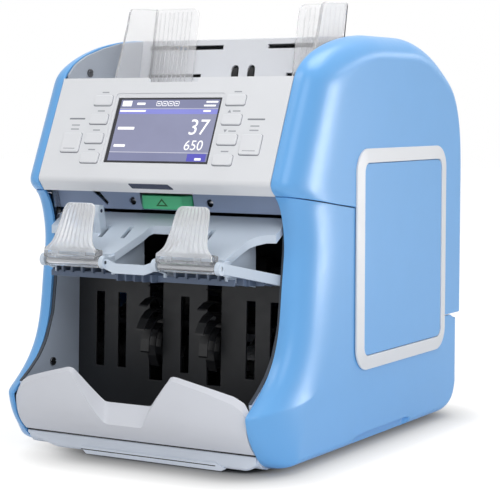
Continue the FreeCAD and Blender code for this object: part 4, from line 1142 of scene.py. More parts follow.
@dataclass
class ControlPanel(Assembly):
    """Sloping panel with the display's bezel, the keys, two lamps and the sensor window in its lip."""

    small_key: Plate = Plate(middle_box(17.2, 8.5), 1.7, (-4.0, 1.5), 0.7, 4)
    small_key_x: float = 62.6
    small_key_rows: tuple[float, ...] = (68.9, 52.6, 35.9, 19.0)
    large_key: Plate = Plate(middle_box(17.8, 16.5), 1.7, (-4.0, 1.5), 0.7, 4)
    large_key_x: float = 84.4
    large_key_row: float = 32.0
    bar: Plate = Plate(middle_box(11.4, 0.6), 0.25, (1.4, 1.53))
    bar_drop: float = 5.5
    gap_sides: Box = (0.6, 0.45, 0.8, 0.35)
    gap_rounds: Flat = (2.0, 1.5)
    gap_overlap: float = 0.2
    gap_heights: Flat = (-0.2, 0.04)
    lamp: Plate = Plate(middle_box(15.5, 1.3), 0.6, (-1.0, 0.12), 0.1, 2)
    lamp_row: float = 53.0
    label: Plate = Plate(middle_box(6.8, 1.0), 0.3, (-0.2, 0.05))
    label_rise: float = 7.25
    label_shift: float = 2.5
    lamp_label: Plate = Plate(middle_box(8.0, 1.0), 0.3, (-0.2, 0.05))
    lamp_label_drops: Flat = (5.6, 9.1)
    arrow_tips: tuple[float, ...] = (0.0, 1.3, -1.3, 0.0)
    arrow_middle: float = -3.8
    arrow_half: float = 1.6
    lip_fall: Flat = (7.9, -9.2)
    window: Plate = Plate(((-21.5, 2.6), (16, 2.6), (20.3, 8.0), (-19.3, 7.8)), 0.8, (-0.6, 0.18), 0.15, 2)
    crease_round: float = 3.4
    edge: float = 0.55

    def places(self) -> list[tuple[str, Plate, float, float]]:
        """Where the keys are.

        Returns:
            Node, plate, middle and row of every key.
        """
        places = []
        for side in Side:
            for number, row in enumerate(self.small_key_rows, 1):
                node = "small_key_%s_%d" % (side.word, number)
                places.append((node, self.small_key, side.value * self.small_key_x, row))
            x = side.value * self.large_key_x
            places.append(("large_key_" + side.word, self.large_key, x, self.large_key_row))
        return places

    def keys(self) -> None:
        """Make every key as a plate with a soft upper edge, and a raised bar at the large ones' foot."""
        for node, key, x, row in self.places():
            self.make(node + "_cap", Patchwork().plate(PANEL, key, x, row), KEY_GREY, node, node)
            if key == self.large_key:
                bar = Patchwork().plate(PANEL, self.bar, x, row - self.bar_drop)
                self.make(node + "_bar", bar, PRINT_GREY, node)

    def shadow_gaps(self) -> None:
        """Make the dark hairline round every key: the keys' gaps with a painted shadow that is widest at
        their foot.
        """
        left, right, foot, head = self.gap_sides
        under, gaps = self.gap_overlap, Patchwork()
        low, high = self.gap_heights
        for _, key, x, row in self.places():
            (u0, v0), _, (u1, v1), _ = np.array(key.corners) + (x, row)
            outer = rounded_box(u0 - left, u1 + right, v0 - foot, v1 + head, self.gap_rounds[0])
            inner = rounded_box(u0 + under, u1 - under, v0 + under, v1 - under, self.gap_rounds[1])
            gaps.border(PANEL, [(outer, low), (outer, high), (inner, high), (inner, low)])
        self.make("key_gaps", gaps, KEY_GAP_SHADOW_GREY, Body.UPPER)

    def prints(self) -> None:
        """Make plain dashes where keys are labelled, two arrows, and the lamps beside the display."""
        marks, lamps = Patchwork(), Patchwork()
        dashes = []
        for side in Side:
            for row, tip in zip(self.small_key_rows, self.arrow_tips):
                middle = side.value * self.small_key_x
                base = row + self.label_rise
                if side is Side.RIGHT and tip:
                    point, half = middle + self.arrow_middle, self.arrow_half
                    arrow = [(point - half, base - tip), (point + half, base - tip), (point, base + tip)]
                    marks.slab(PANEL, anticlockwise(np.array(arrow)), *self.label.heights)
                    middle += self.label_shift
                dashes.append((middle, base, self.label))
            x = side.value * self.large_key_x
            dashes += [(x, self.lamp_row - drop, self.lamp_label) for drop in self.lamp_label_drops]
            lamps.plate(PANEL, self.lamp, x, self.lamp_row)
        for u, v, dash in dashes:
            marks.plate(PANEL, dash, u, v)
        self.make("key_prints", marks, PRINT_GREY, Body.UPPER)
        self.make("panel_lamps", lamps, LAMP_GREY, Body.UPPER)

    def sensor_window(self) -> None:
        """Make the dark window set in the lip under the crease."""
        lip = sloped_plane(0.0, *CREASE, math.degrees(math.atan2(self.lip_fall[1], self.lip_fall[0])))
        plane = Plane(lip.origin, lip.across, lip.along, tuple(-np.array(lip.out)))
        self.make("sensor_window", Patchwork().plate(plane, self.window), SENSOR_DARK, Body.UPPER)

    def build(self) -> None:
        """Make the panel and everything set in it."""
        panel = node_copy("control_panel")
        round_line(panel, *CREASE, self.crease_round)
        soft_edges(panel, self.edge)
        settle(panel)
        self.dress(panel, PANEL_WHITE, Body.UPPER, "control_panel")
        self.keys()
        self.shadow_gaps()
        self.prints()
        self.sensor_window()


@dataclass
class Display(Assembly):
    """Lit display under its lens: a header, a bar, two figures and a foot line."""

    left: float = -45.6
    right: float = 47.3
    low: float = 17.7
    high: float = 70.1
    face: float = -1.15
    corner: float = 0.12
    layer: float = 0.03
    film: float = 0.02
    mark_rise: float = 0.12
    slant: float = 0.04
    figures: tuple[tuple[str, Point], ...] = (("37", (42.5, 40.4, 18.6)), ("650", (41.0, 27.4, 11.8)))
    icons: int = 4
    icon_first: float = -9.0
    icon_pitch: float = 5.6
    icon: Flat = (4.8, 4.2)
    icon_row: float = 66.7
    icon_line: float = 0.5
    icon_round: float = 1.0
    icon_dash: Flat = (2.2, 0.8)
    icon_dash_round: float = 0.3
    dash_round: float = 0.5

    def field(self, name: str, finish: Finish, box: Box, layer: int) -> None:
        """Make one rectangle of the picture on its own thin layer.

        Args:
            name: the piece's name.
            finish: its finish.
            box: left, right, low and high end as shares of the display.
            layer: number of the layer above the lens.
        """
        u = [self.left + (self.right - self.left) * share for share in box[:2]]
        v = [self.low + (self.high - self.low) * share for share in box[2:]]
        height = self.face + self.layer * layer
        sheet = Patchwork().slab(PANEL, rounded_box(*u, *v, self.corner, 2), height - self.film, height)
        self.make(name, sheet, finish, Body.UPPER)

    def figure(self, name: str, text: str, place: Point) -> None:
        """Make slanted figures in the built-in face, laid on the display.

        Args:
            name: the piece's name.
            text: the figures.
            place: their right end, foot and size.
        """
        curve = bpy.data.curves.new(name, "FONT")
        curve.body = text
        curve.size = place[2]
        curve.shear = self.slant
        curve.align_x = "RIGHT"
        curve.extrude = self.film
        draft = linked(name + "_draft", curve)
        mesh = seen_mesh(draft)
        bpy.data.objects.remove(draft)
        flat = np.empty(len(mesh.vertices) * 3)
        mesh.vertices.foreach_get("co", flat)
        u, v, w = flat.reshape(-1, 3).T
        points = PANEL.place(u + place[0], v + place[1], w + self.face + self.mark_rise)
        mesh.vertices.foreach_set("co", to_frame(points).ravel())
        mesh.update()
        weld(mesh)
        self.dress(linked(name, mesh), SCREEN_WHITE, Body.UPPER)

    def marks(self) -> None:
        """Make small rounded frames in the header, and dashes beside the figures and in the corners."""
        patch = Patchwork()
        high = self.face + self.mark_rise
        low = high - self.film
        for number in range(self.icons):
            u = self.icon_first + self.icon_pitch * number
            outer = rounded(middle_box(*self.icon), self.icon_round) + (u, self.icon_row)
            inner = inset(outer, self.icon_line)
            patch.border(PANEL, [(outer, low), (outer, high), (inner, high), (inner, low)])
            dash = rounded(middle_box(*self.icon_dash), self.icon_dash_round) + (u, self.icon_row)
            patch.slab(PANEL, dash, low, high)
        beside_figures = [(-43, -27, 44.2, 46.6), (-43, -32, 29.4, 31.6)]
        in_head = [(-30, -22, 65.6, 67.6), (-44, -35, 64.4, 69.2)]
        in_head += [(35, 46, 67.4, 68.9), (33.5, 44.5, 64.2, 65.7)]
        in_bar_and_foot = [(-45, -20, 59.6, 61.2), (34, 41, 59.6, 61.2), (36, 42, 18.8, 20.8)]
        for box in beside_figures + in_head + in_bar_and_foot:
            patch.slab(PANEL, rounded_box(*box, self.dash_round), low, high)
        self.make("screen_icons", patch, SCREEN_WHITE, Body.UPPER)

    def build(self) -> None:
        """Make the picture on the lens, whose rim stays dark."""
        self.node("display_lens", SCREEN_BLACK)
        self.node("display_board", BOARD_GREEN)
        self.field("screen_field", SCREEN_FIELD, (0.0, 1.0, 0.0, 1.0), 1)
        self.field("screen_head", SCREEN_HEAD, (0.0, 1.0, 0.86, 1.0), 2)
        self.field("screen_bar", SCREEN_BAR, (0.0, 1.0, 0.765, 0.845), 2)
        self.field("screen_line_head", SCREEN_LINE, (0.0, 1.0, 0.85, 0.857), 3)
        self.field("screen_line_foot", SCREEN_LINE, (0.0, 1.0, 0.135, 0.145), 3)
        self.field("screen_foot", SCREEN_HEAD, (0.0, 1.0, 0.0, 0.13), 2)
        self.field("screen_button", SCREEN_BUTTON, (0.8, 0.985, 0.005, 0.125), 3)
        for number, (text, place) in enumerate(self.figures, 1):
            self.figure("screen_figures_%d" % number, text, place)
        self.marks()


# Hopper


@dataclass
class Hopper(Assembly):
    """Back plate, floor, cheeks, rollers and the two clear guides."""

    guide_x: float = 94.5
    guide_inner_x: float = 49.4
    guide_thick: float = 2.4
    guide_foot: float = -7.5
    guide_top: float = 59.6
    guide_edge: float = 0.5
    wall_front: tuple[Flat, ...] = ((41.2, 49.8), (43.4, 31.4), (52.3, -14.7), (51.8, -17.6))
    wall_radii: tuple[float, ...] = (0.4, 3.0, 5.0, 8.0, 1.2, 1.2)
    plate_radii: tuple[float, ...] = (0.6, 0.6, 6.5, 5.0)
    lift: float = 0.4
    ribs: int = 8
    rib_width: float = 1.1
    rib_inset: float = 6.0
    rib_margin: float = 9.0
    rib_start: float = 0.2
    rib_ends: Flat = (2.0, 3.5)
    rib_round: float = 0.4
    rib_heights: Flat = (-0.15, 0.45)
    rib_edge: float = 0.35

    def guide(self, side: Side) -> Patchwork:
        """Clear guide: a ribbed back plate with round corners and a side wall that reaches forward.

        Args:
            side: the guide's side.

        Returns:
            Its surfaces.
        """
        sign, patch = side.value, Patchwork()
        outer, inner, foot, top = self.guide_x, self.guide_inner_x, self.guide_foot, self.guide_top
        low, high = self.lift, self.lift + self.guide_thick
        corners = [(sign * outer, foot), (sign * outer, top), (sign * inner, top), (sign * inner, foot)]
        patch.slab(HOPPER, rounded(corners, self.plate_radii, 8), low, high, self.guide_edge)
        pitch = (outer - inner - self.rib_margin) / self.ribs
        for number in range(self.ribs):
            u = sign * (inner + self.rib_inset + pitch * (number + self.rib_start))
            ends = (foot + self.rib_ends[0], top - self.rib_ends[1])
            rib = rounded_box(u - self.rib_width / 2, u + self.rib_width / 2, *ends, self.rib_round, 3)
            rib_low, rib_high = (high + height for height in self.rib_heights)
            patch.slab(HOPPER, rib, rib_low, rib_high, self.rib_edge, steps=2)
        outline = rounded([(low, foot), (low, top), *self.wall_front], self.wall_radii)
        origin = np.array(HOPPER.origin) + (sign * (outer - self.guide_thick), 0, 0)
        plane = Plane(tuple(origin), HOPPER.out, HOPPER.along, (float(sign), 0.0, 0.0))
        return patch.slab(plane, outline, 0.0, self.guide_thick, self.guide_edge)

    def build(self) -> None:
        """Make the guides and dress the rest of the hopper."""
        for side in Side:
            node, body = "hopper_guide_" + side.word, Body("guide_" + side.word)
            self.make(node + "_clear", self.guide(side), CLEAR_GUIDE, body, node)
        self.softened("hopper_back_plate", PANEL_WHITE, 0.4)
        self.softened("hopper_floor", TRAY_GREY, 0.5)
        self.softened("hopper_cheeks", CHEEK_GREY, 0.5)
        self.softened("top_rear_cover", PANEL_WHITE, 0.8)
        self.softened("hopper_screws", SCREW_STEEL, 0.3)
        self.node("kicker_rollers", RUBBER)
        self.node("feed_rollers", RUBBER)
        self.node("guide_pinion", ACETAL)


# Pockets


@dataclass
class RejectPocket(Assembly):
    """Grey strip with the green lever, the ribbed tray, its sensor post and two clear fingers."""

    finger_x: float = 52.9
    pivot_y: float = -162.0
    pivot_z: float = 155.0
    finger_degrees: float = 79.2
    finger_thick: float = 3.0
    finger_stand: float = 6.9
    finger_lean: float = 0.19
    finger_foot: float = 6.0
    finger_top: float = 45.9
    finger_rim: float = 0.06
    finger_rows: int = 64
    finger_columns: int = 121
    tip_length: float = 2.4
    tip_thinning: float = 0.8
    flutes: int = 9
    flute_depth: float = 0.62
    flute_start: float = 9.0
    flute_rise: float = 6.0
    flute_fall: float = 3.0
    flute_share: float = 0.93
    block: Plate = Plate(box(-25.0, 25.0, 1.2, 9.8), 1.8, (-2.0, 8.2), 1.4, 4)
    clip: Plate = Plate(box(-3.2, 3.2, 3.2, 7.8), 1.0, (7.6, 8.8), 0.5)
    clip_x: float = 13.0
    barrel_radius: float = 4.6
    barrel_half: float = 25.5
    barrel_steps: int = 40
    pin_radius: float = 2.1
    lever_face: Flat = (-117.0, 194.2)
    lever_degrees: float = 97.1
    lever_mark: tuple[Flat, ...] = ((-5.6, 2.8), (5.6, 2.8), (0.0, 9.0))
    lever_mark_width: float = 1.3
    lever_mark_heights: Flat = (-0.1, 0.12)
    lever_edge: float = 1.0
    lever_edge_degrees: float = 20.0
    tray_y: float = -110.0
    tray_z: float = 185.4
    tray_slope: float = 0.593
    lip: Plate = Plate(box(-104.0, 104.0, 1.9, 9.4), 0.8, (-2.2, -0.1), 0.5)
    painted_shade_from: float = 3.0
    painted_shade_fade: float = 5.0
    rib_inner: float = 26.0
    rib_outer: float = 79.0
    rib_front: float = -153.0
    bar_front: float = -160.0
    bar_half: float = 80.3
    bar_slope: float = 0.471
    lattice_x: tuple[float, ...] = (-97.0, -89.0, -16.0, -8.0, 0.0, 8.0, 16.0, 89.0, 97.0)
    lattice_y: tuple[float, ...] = (-148.0, -136.0, -124.0, -113.5)
    lattice_front: float = -156.5
    lattice_rear: float = -112.0
    lattice_thick: Flat = (1.4, 1.2)
    lattice_edge: float = 0.2
    post_x: float = -56.5
    post_heights: Flat = (0.0, 5.5)
    post_edge: float = 0.7
    eye_at: Flat = (-128.2, 192.4)
    eye_radius: float = 1.5
    eye_steps: int = 24
    eye_heights: Flat = (5.4, 5.56)

    def paddle(self, plane: Plane) -> Patchwork:
        """Clear fluted paddle that leans back from its foot.

        At height v the paddle is 2*h(v) wide and its middle stands at stand - lean*(v - foot). Both faces
        are half a thickness away, times sqrt(1 - e^2) with e the way into the outer rim, and the front
        carries depth*cos(pi*flutes*share) over the share of the width, faded out at the foot and the top.

        Args:
            plane: the finger's plane through its pivot.

        Returns:
            Its surface.
        """
        knots = [(6.5, 25.2), (9.5, 23.4), (13, 20.2), (20, 17.6), (34, 15.6), (41.5, 14.6), (44.6, 13.0)]
        line = spline(knots + [(self.finger_top, 10.5)], (0.9, -0.4), (0.3, -0.95), self.finger_rows)
        height, half = line[:, :1], line[:, 1:]
        share = np.linspace(-1, 1, self.finger_columns)
        below_top = self.finger_top - height
        fade = np.clip((height - self.flute_start) / self.flute_rise, 0, 1)
        fade = fade * np.clip(below_top / self.flute_fall, 0, 1) * (np.abs(share) < self.flute_share)
        ripple = self.flute_depth * fade * np.cos(math.pi * self.flutes * share)
        into_rim = np.clip((np.abs(share) - 1) / self.finger_rim + 1, 0, 1)
        into_tip = np.clip(1 - below_top / self.tip_length, 0, 1)
        rim = np.sqrt(1 - into_rim**2) * np.sqrt(1 - self.tip_thinning * into_tip**2)
        thick = self.finger_thick / 2 * rim
        middle = self.finger_stand - self.finger_lean * (height - self.finger_foot)
        u, v = half * share, height + 0 * share
        loop_u, loop_v = (np.concatenate([way, way[:, ::-1]], axis=1) for way in (u, v))
        loop_w = np.concatenate([middle + thick + ripple, (middle - thick)[:, ::-1]], axis=1)
        return Patchwork().tube(plane.place(loop_u, loop_v, loop_w))

    def foot(self, side: Side, plane: Plane) -> Patchwork:
        """Foot of a finger: a block with two small clips, and a sleeve with rounded ends round the pin.

        Args:
            side: the finger's side.
            plane: the finger's plane through its pivot.

        Returns:
            Its surfaces.
        """
        patch = Patchwork().plate(plane, self.block)
        for u in (-self.clip_x, self.clip_x):
            patch.plate(plane, self.clip, u)
        half, radius = self.barrel_half, self.barrel_radius
        left_end = [(-half, self.pin_radius), (-half, radius - 1.2), (0.4 - half, radius - 0.4)]
        left_end += [(1.2 - half, radius)]
        right_end = [(-x, from_axis) for x, from_axis in left_end[::-1]]
        profile = np.array(left_end + right_end) + (side.value * self.finger_x, 0.0)
        return patch.lathe(profile, self.pivot_y, self.pivot_z, self.barrel_steps)

    def fingers(self) -> None:
        """Make both fingers, each a paddle and its foot."""
        for side in Side:
            plane = sloped_plane(side.value * self.finger_x, self.pivot_y, self.pivot_z, self.finger_degrees)
            node, body = "reject_finger_" + side.word, Body("finger_" + side.word)
            self.make(node + "_clear", self.paddle(plane), CLEAR_FINGER, body, node)
            self.make(node + "_foot", self.foot(side, plane), CLEAR_BASE, body)

    def lever(self) -> None:
        """Make the green pull, a block that flares back into the strip, with a triangle line on its face."""
        sections = [(18.0, self.lever_face, (-118.4, 205.5)), (24.0, (-110.5, 195.3), (-110.5, 205.8))]
        sections += [(24.0, (-104.0, 196.5), (-104.0, 206.0))]
        rings = [[(-half, *low), (half, *low), (half, *high), (-half, *high)] for half, low, high in sections]
        piece = Patchwork().tube(np.array(rings)).mesh("release_lever_pull")
        soft_edges(piece, self.lever_edge, self.lever_edge_degrees, segments=3)
        settle(piece)
        self.dress(piece, LEVER_GREEN, Body.LATCH, "release_lever")
        plane = sloped_plane(0.0, *self.lever_face, self.lever_degrees)
        outer = np.array(self.lever_mark)
        inner = inset(outer, self.lever_mark_width)
        low, high = self.lever_mark_heights
        mark = Patchwork().border(plane, [(outer, low), (outer, high), (inner, high), (inner, low)])
        self.make("release_lever_mark", mark, LEVER_LINE, Body.LATCH)

    def liner_trim(self) -> None:
        """Make a dark strip along the liners' front edge, a painted shadow gap: a flat profile carried along
        that edge.

        Every point of the line gives a section of x and of the way out along the line's normal.
        """
        line = [(-111, 187), (-111.5, 166), (-114.5, 142), (-119.5, 107), (-129, 85), (-138, 73.5)]
        line = eased(even(np.array(line + [(-150, 63.5), (-162, 55.4)], float), 2.0), 3)
        along = np.gradient(line, axis=0)
        normal = np.stack([along[:, 1], -along[:, 0]], axis=1) / np.linalg.norm(along, axis=1)[:, None]
        profile = ((106.0, 0.5), (108.7, 0.5), (108.7, -0.3), (106.0, -0.3))
        sections = [np.insert(line + normal * out, 0, x, axis=1) for x, out in profile]
        trim = Patchwork().tube(np.stack(sections, axis=1))
        self.make("liner_trim", trim.paired(), LINER_EDGE_PAINTED_SHADOW, Body.LOWER)

    def tray_lip(self) -> None:
        """Make the rear edge of the tray, which runs up under the strip."""
        plane = sloped_plane(0.0, self.tray_y, self.tray_z, math.degrees(math.atan(self.tray_slope)))
        self.make("reject_tray_lip", Patchwork().plate(plane, self.lip), REJECT_GREY, Body.LOWER)

    def lattice(self) -> None:
        """Make the ribs that cross under the tray's bars, kept behind the line of the outer bars, dark grey
        as painted shade.
        """
        patch, rear = Patchwork(), self.lattice_rear
        thick, thin = (size / 2 for size in self.lattice_thick)
        for x in self.lattice_x:
            line = self.bar_front + 2.0 + (abs(x) - self.bar_half - 1.0) / self.bar_slope
            front = max(self.lattice_front, line)
            outline = rounded([(front, 140.6), (rear, 138.0), (rear, 146.0), (front, 146.5)], 1.0)
            patch.slab(side_plane(x), outline, -thick, thick, self.lattice_edge, steps=2)
        for y in self.lattice_y:
            half = self.bar_half + (y - self.bar_front) * self.bar_slope
            foot = 139.0 - (y - rear) * 0.05
            outline = rounded_box(-half, half, foot, 145.6, 0.5)
            patch.slab(front_plane(y), outline, -thin, thin, self.lattice_edge, steps=2)
        self.make("reject_tray_lattice", patch, LATTICE_GREY_PAINTED_SHADE, Body.LOWER)

    def paint_rib_shade(self, tray: Piece) -> None:
        """Store painted shade for the ribs: how deep each point lies under the tray's plate, from 0 to 1,
        behind the front bars.

        Args:
            tray: the tray's piece.
        """
        points = np.empty(len(tray.data.vertices) * 3)
        tray.data.vertices.foreach_get("co", points)
        x, y, z = points.reshape(-1, 3).T / MM
        y = y + MIDDLE_Y
        under = self.tray_z + (y - self.tray_y) * self.tray_slope - z
        depth = np.clip((under - self.painted_shade_from) / self.painted_shade_fade, 0, 1)
        ribbed = (np.abs(x) > self.rib_inner) & (np.abs(x) < self.rib_outer) & (y > self.rib_front)
        attribute = tray.data.attributes.new("depth", "FLOAT", "POINT")
        attribute.data.foreach_set("value", (depth * ribbed).astype(np.float32))

    def sensor_post(self) -> None:
        """Make the upright post on the tray behind the left finger, with a dark eye near its top."""
        plane = side_plane(self.post_x)
        corners = ((-128.5, 172.5), (-120.5, 176.8), (-124.8, 196.6), (-131.4, 197.4), (-132.4, 191.5))
        post = Plate(corners, (0.4, 0.4, 1.6, 1.6, 3.0), self.post_heights, self.post_edge)
        self.make("reject_sensor_post", Patchwork().plate(plane, post), REJECT_GREY, Body.LOWER)
        turn = np.linspace(0, 2 * math.pi, self.eye_steps, endpoint=False)
        ring = np.stack([np.cos(turn), np.sin(turn)], axis=1) * self.eye_radius + self.eye_at
        eye = Patchwork().slab(plane, ring, *self.eye_heights)
        self.make("reject_sensor_eye", eye, SENSOR_DARK, Body.LOWER)

    def build(self) -> None:
        """Make the fingers, the lever and what the tray carries, and dress the strip, tray and liners."""
        self.fingers()
        self.lever()
        self.liner_trim()
        self.tray_lip()
        self.lattice()
        self.sensor_post()
        self.softened("front_strip", STRIP_GREY, 0.4)
        # the ribs under the tray get painted shade from the depth attribute
        self.paint_rib_shade(self.softened("reject_tray", RIBBED_GREY_PAINTED_SHADE, 0.35))
        self.softened("pocket_liners", LINER_GREY, 0.5)
        self.node("latch_shaft", STEEL)
        self.node("pivot_pins", STEEL)


@dataclass
class StackerPocket(Assembly):
    """Grey front with two lobes and a finger notch, the apron under it, the dark pocket and its wheels."""

    seam_z: float = 16.3
    seam_gap: float = 1.9
    seam: Plate = Plate(box(-107.2, 107.2, 14.0, 16.7), 0.2, (-4.5, -0.5), corner_steps=2)
    half_opening: float = 109.0
    lobe_z: float = 73.4
    lobe_y: float = -179.0
    foot_z: float = 14.0
    curl: float = 26.5
    bow: float = 12.5
    bow_power: float = 2.5
    thickness: float = 3.0
    edge_step: float = 0.8
    face_rows: int = 26
    inner_drop: float = 1.0
    inner_gap: float = 0.8
    sharp_degrees: float = 28.0
    apron_y: float = -153.4
    apron_half: float = 107.5
    apron_columns: int = 120
    left_end: Flat = (-78.0, 30.0)
    right_end: Flat = (96.0, 12.0)
    left_rise: float = 0.75
    left_power: float = 1.3
    right_rise: float = 0.5
    hatch: Plate = Plate(((-56, 6.6), (-49, 0.7), (77, 0.7), (80.5, 2.6), (72.5, 6.6)), 0.8, (-3.0, 0.6), 0.4)
    slot: Plate = Plate(box(-54, 72, 3.9, 4.6), 0.3, (0.4, 0.64))

    def face_y(self, x: Array, z: Array) -> Array:
        """Depth of the face: lobe + curl*d^4 + bow*(|x|/opening)^p*(1 - d^2), d the share of the drop.

        Args:
            x: places across the face.
            z: heights on it.

        Returns:
            The depth at every place.
        """
        drop = np.clip((self.lobe_z - z) / (self.lobe_z - self.foot_z), 0, 1)
        bow = self.bow * (np.abs(x) / self.half_opening) ** self.bow_power
        return self.lobe_y + self.curl * drop**4 + bow * (1 - drop**2)

    def edges(self) -> tuple[Array, Array, Array]:
        """Top edges of the front, drawn for one half and mirrored.

        Returns:
            Front and rear top edge as (x, z) points in step, and the depth of the rear edge behind the face.
        """
        front = [(0, 30.5), (15.5, 30.5), (18.2, 31.6), (20.6, 35.0), (42.2, 66.0), (44.6, 68.9), (48, 70.0)]
        front += [(52.4, 69.2), (76, 62.8), (97, 55.6), (104.2, 50.8), (107.6, 44.5)]
        rear = [(0, 46.8), (18.5, 46.8), (21.5, 47.2), (23.8, 49.5), (42.8, 69.8), (45.2, 72.4), (48.3, 73.3)]
        rear += [(52.3, 72.6), (76, 66.6), (96, 61.0), (104, 56.4), (108.2, 50.0)]
        depth = [12.5, 12.5, 12.2, 11.2, 4.4, 3.2, 2.4, 2.8, 3.6, 4.2, 4.4, 3.6]
        right = eased(even(np.column_stack([front, rear, depth]), self.edge_step), 2)
        left = right[:0:-1] * (-1, 1, -1, 1, 1)
        full = np.concatenate([left, right])
        return full[:, :2], full[:, 2:4], full[:, 4]

    def front(self) -> Patchwork:
        """Front surface from the seam up to its top edge, over the edge and down inside.

        Rows between the seam and the front edge share out the height; the band from the front edge to the
        rear edge is straight; the inner face follows at the wall's thickness.

        Returns:
            The closed front.
        """
        front, rear, depth = self.edges()
        share = np.linspace(0, 1, self.face_rows)[:, None]
        x = front[:, 0] + 0 * share
        z = self.seam_z + (front[:, 1] - self.seam_z) * share
        face = np.stack([x, self.face_y(x, z), z], axis=-1)
        rear_y = self.face_y(rear[:, 0], rear[:, 1]) + depth
        edge_rear = np.stack([rear[:, 0], rear_y, rear[:, 1]], axis=-1)
        blend = np.array([0.1, 0.3, 0.5, 0.7, 0.9, 1.0])[:, None, None]
        band = face[-1] + (edge_rear - face[-1]) * blend
        inner_x = rear[:, 0] + 0 * share
        inner_z = self.seam_z + (rear[:, 1] - self.inner_drop - self.seam_z) * share[::-1]
        inner_y = np.maximum(self.face_y(inner_x, inner_z) + self.thickness, rear_y + self.inner_gap)
        rows = np.concatenate([face, band, np.stack([inner_x, inner_y, inner_z], axis=-1)])
        return Patchwork().tube(rows.transpose(1, 0, 2))

    def apron(self) -> Patchwork:
        """Plinth face under the seam: a profile along x that is drawn up towards both ends.

        At x every height z of the profile becomes top - (top - z)*s(x), with s = 1 - left_rise*a^left_power
        over the left end's share a, times 1 - right_rise*b^2 over the right end's share b.

        Returns:
            The closed apron.
        """
        top = self.seam_z - self.seam_gap
        upper_edge = [(5.0, top), (0.5, top), (0.0, top - 0.5)]
        foot = [(0.1, 7.0), (0.7, 4.2), (2.4, 2.8), (7.0, 2.8), (8.0, 5.0)]
        depth, height = np.array(upper_edge + foot).T
        x = np.linspace(-self.apron_half, self.apron_half, self.apron_columns)[:, None]
        left = np.clip((self.left_end[0] - x) / self.left_end[1], 0, 1)
        right = np.clip((x - self.right_end[0]) / self.right_end[1], 0, 1)
        rise = (1 - self.left_rise * left**self.left_power) * (1 - self.right_rise * right**2)
        y = self.apron_y + depth + 0 * x
        return Patchwork().tube(np.stack([x + 0 * y, y, top - (top - height) * rise], axis=-1))

    def build(self) -> None:
        """Make the front, its apron with a sunk seam, hatch and slot, and dress the pocket."""
        piece = self.front().mesh("stacker_front_cover")
        settle(piece, self.sharp_degrees)
        self.dress(piece, TRAY_GREY, Body.LOWER, "stacker_front")
        self.make("plinth_apron", self.apron(), PLINTH_GREY, Body.LOWER)
        plane = front_plane(self.apron_y)
        plates = {"plinth_seam": (self.seam, DARK), "plinth_hatch": (self.hatch, PLINTH_GREY)}
        plates["plinth_slot"] = (self.slot, DARK)
        for name, (plate, finish) in plates.items():
            self.make(name, Patchwork().plate(plane, plate), finish, Body.LOWER)
        self.softened("stacker_pocket", DARK, 0.5)
        self.softened("casing_screws", SCREW_STEEL, 0.3)
        self.node("stacker_wheels", WHEEL_BLACK)


@dataclass
class BaseAndRear(Assembly):
    """Plinth, feet, rear panel with its sockets, and everything inside the casing."""

    small_edge: float = 0.2
    edge: float = 0.4
    panel_edge: float = 0.5

    def build(self) -> None:
        """Dress the base, the rear and the inner pieces."""
        self.softened("base_pan", PLINTH_GREY, self.panel_edge)
        self.softened("rear_lower_panel", TRAY_GREY, self.panel_edge)
        self.softened("mains_inlet", DARK, self.edge)
        self.softened("power_rocker", WHEEL_BLACK, self.edge)
        self.softened("interface_sockets", STEEL, self.small_edge)
        plain = {
            STEEL: ("side_frames", "upper_frames", "power_supply", "motor_pulley"),
            DARK: ("lower_path_plate", "upper_path_plate", "diverter_gate", "drive_motor"),
            RUBBER: ("rubber_feet", "drive_belt", "transport_rollers"),
            SENSOR_DARK: ("lower_image_sensor", "upper_image_sensor"),
            BOARD_GREEN: ("main_board",),
        }
        for finish, nodes in plain.items():
            for node in nodes:
                self.node(node, finish)


# Studio


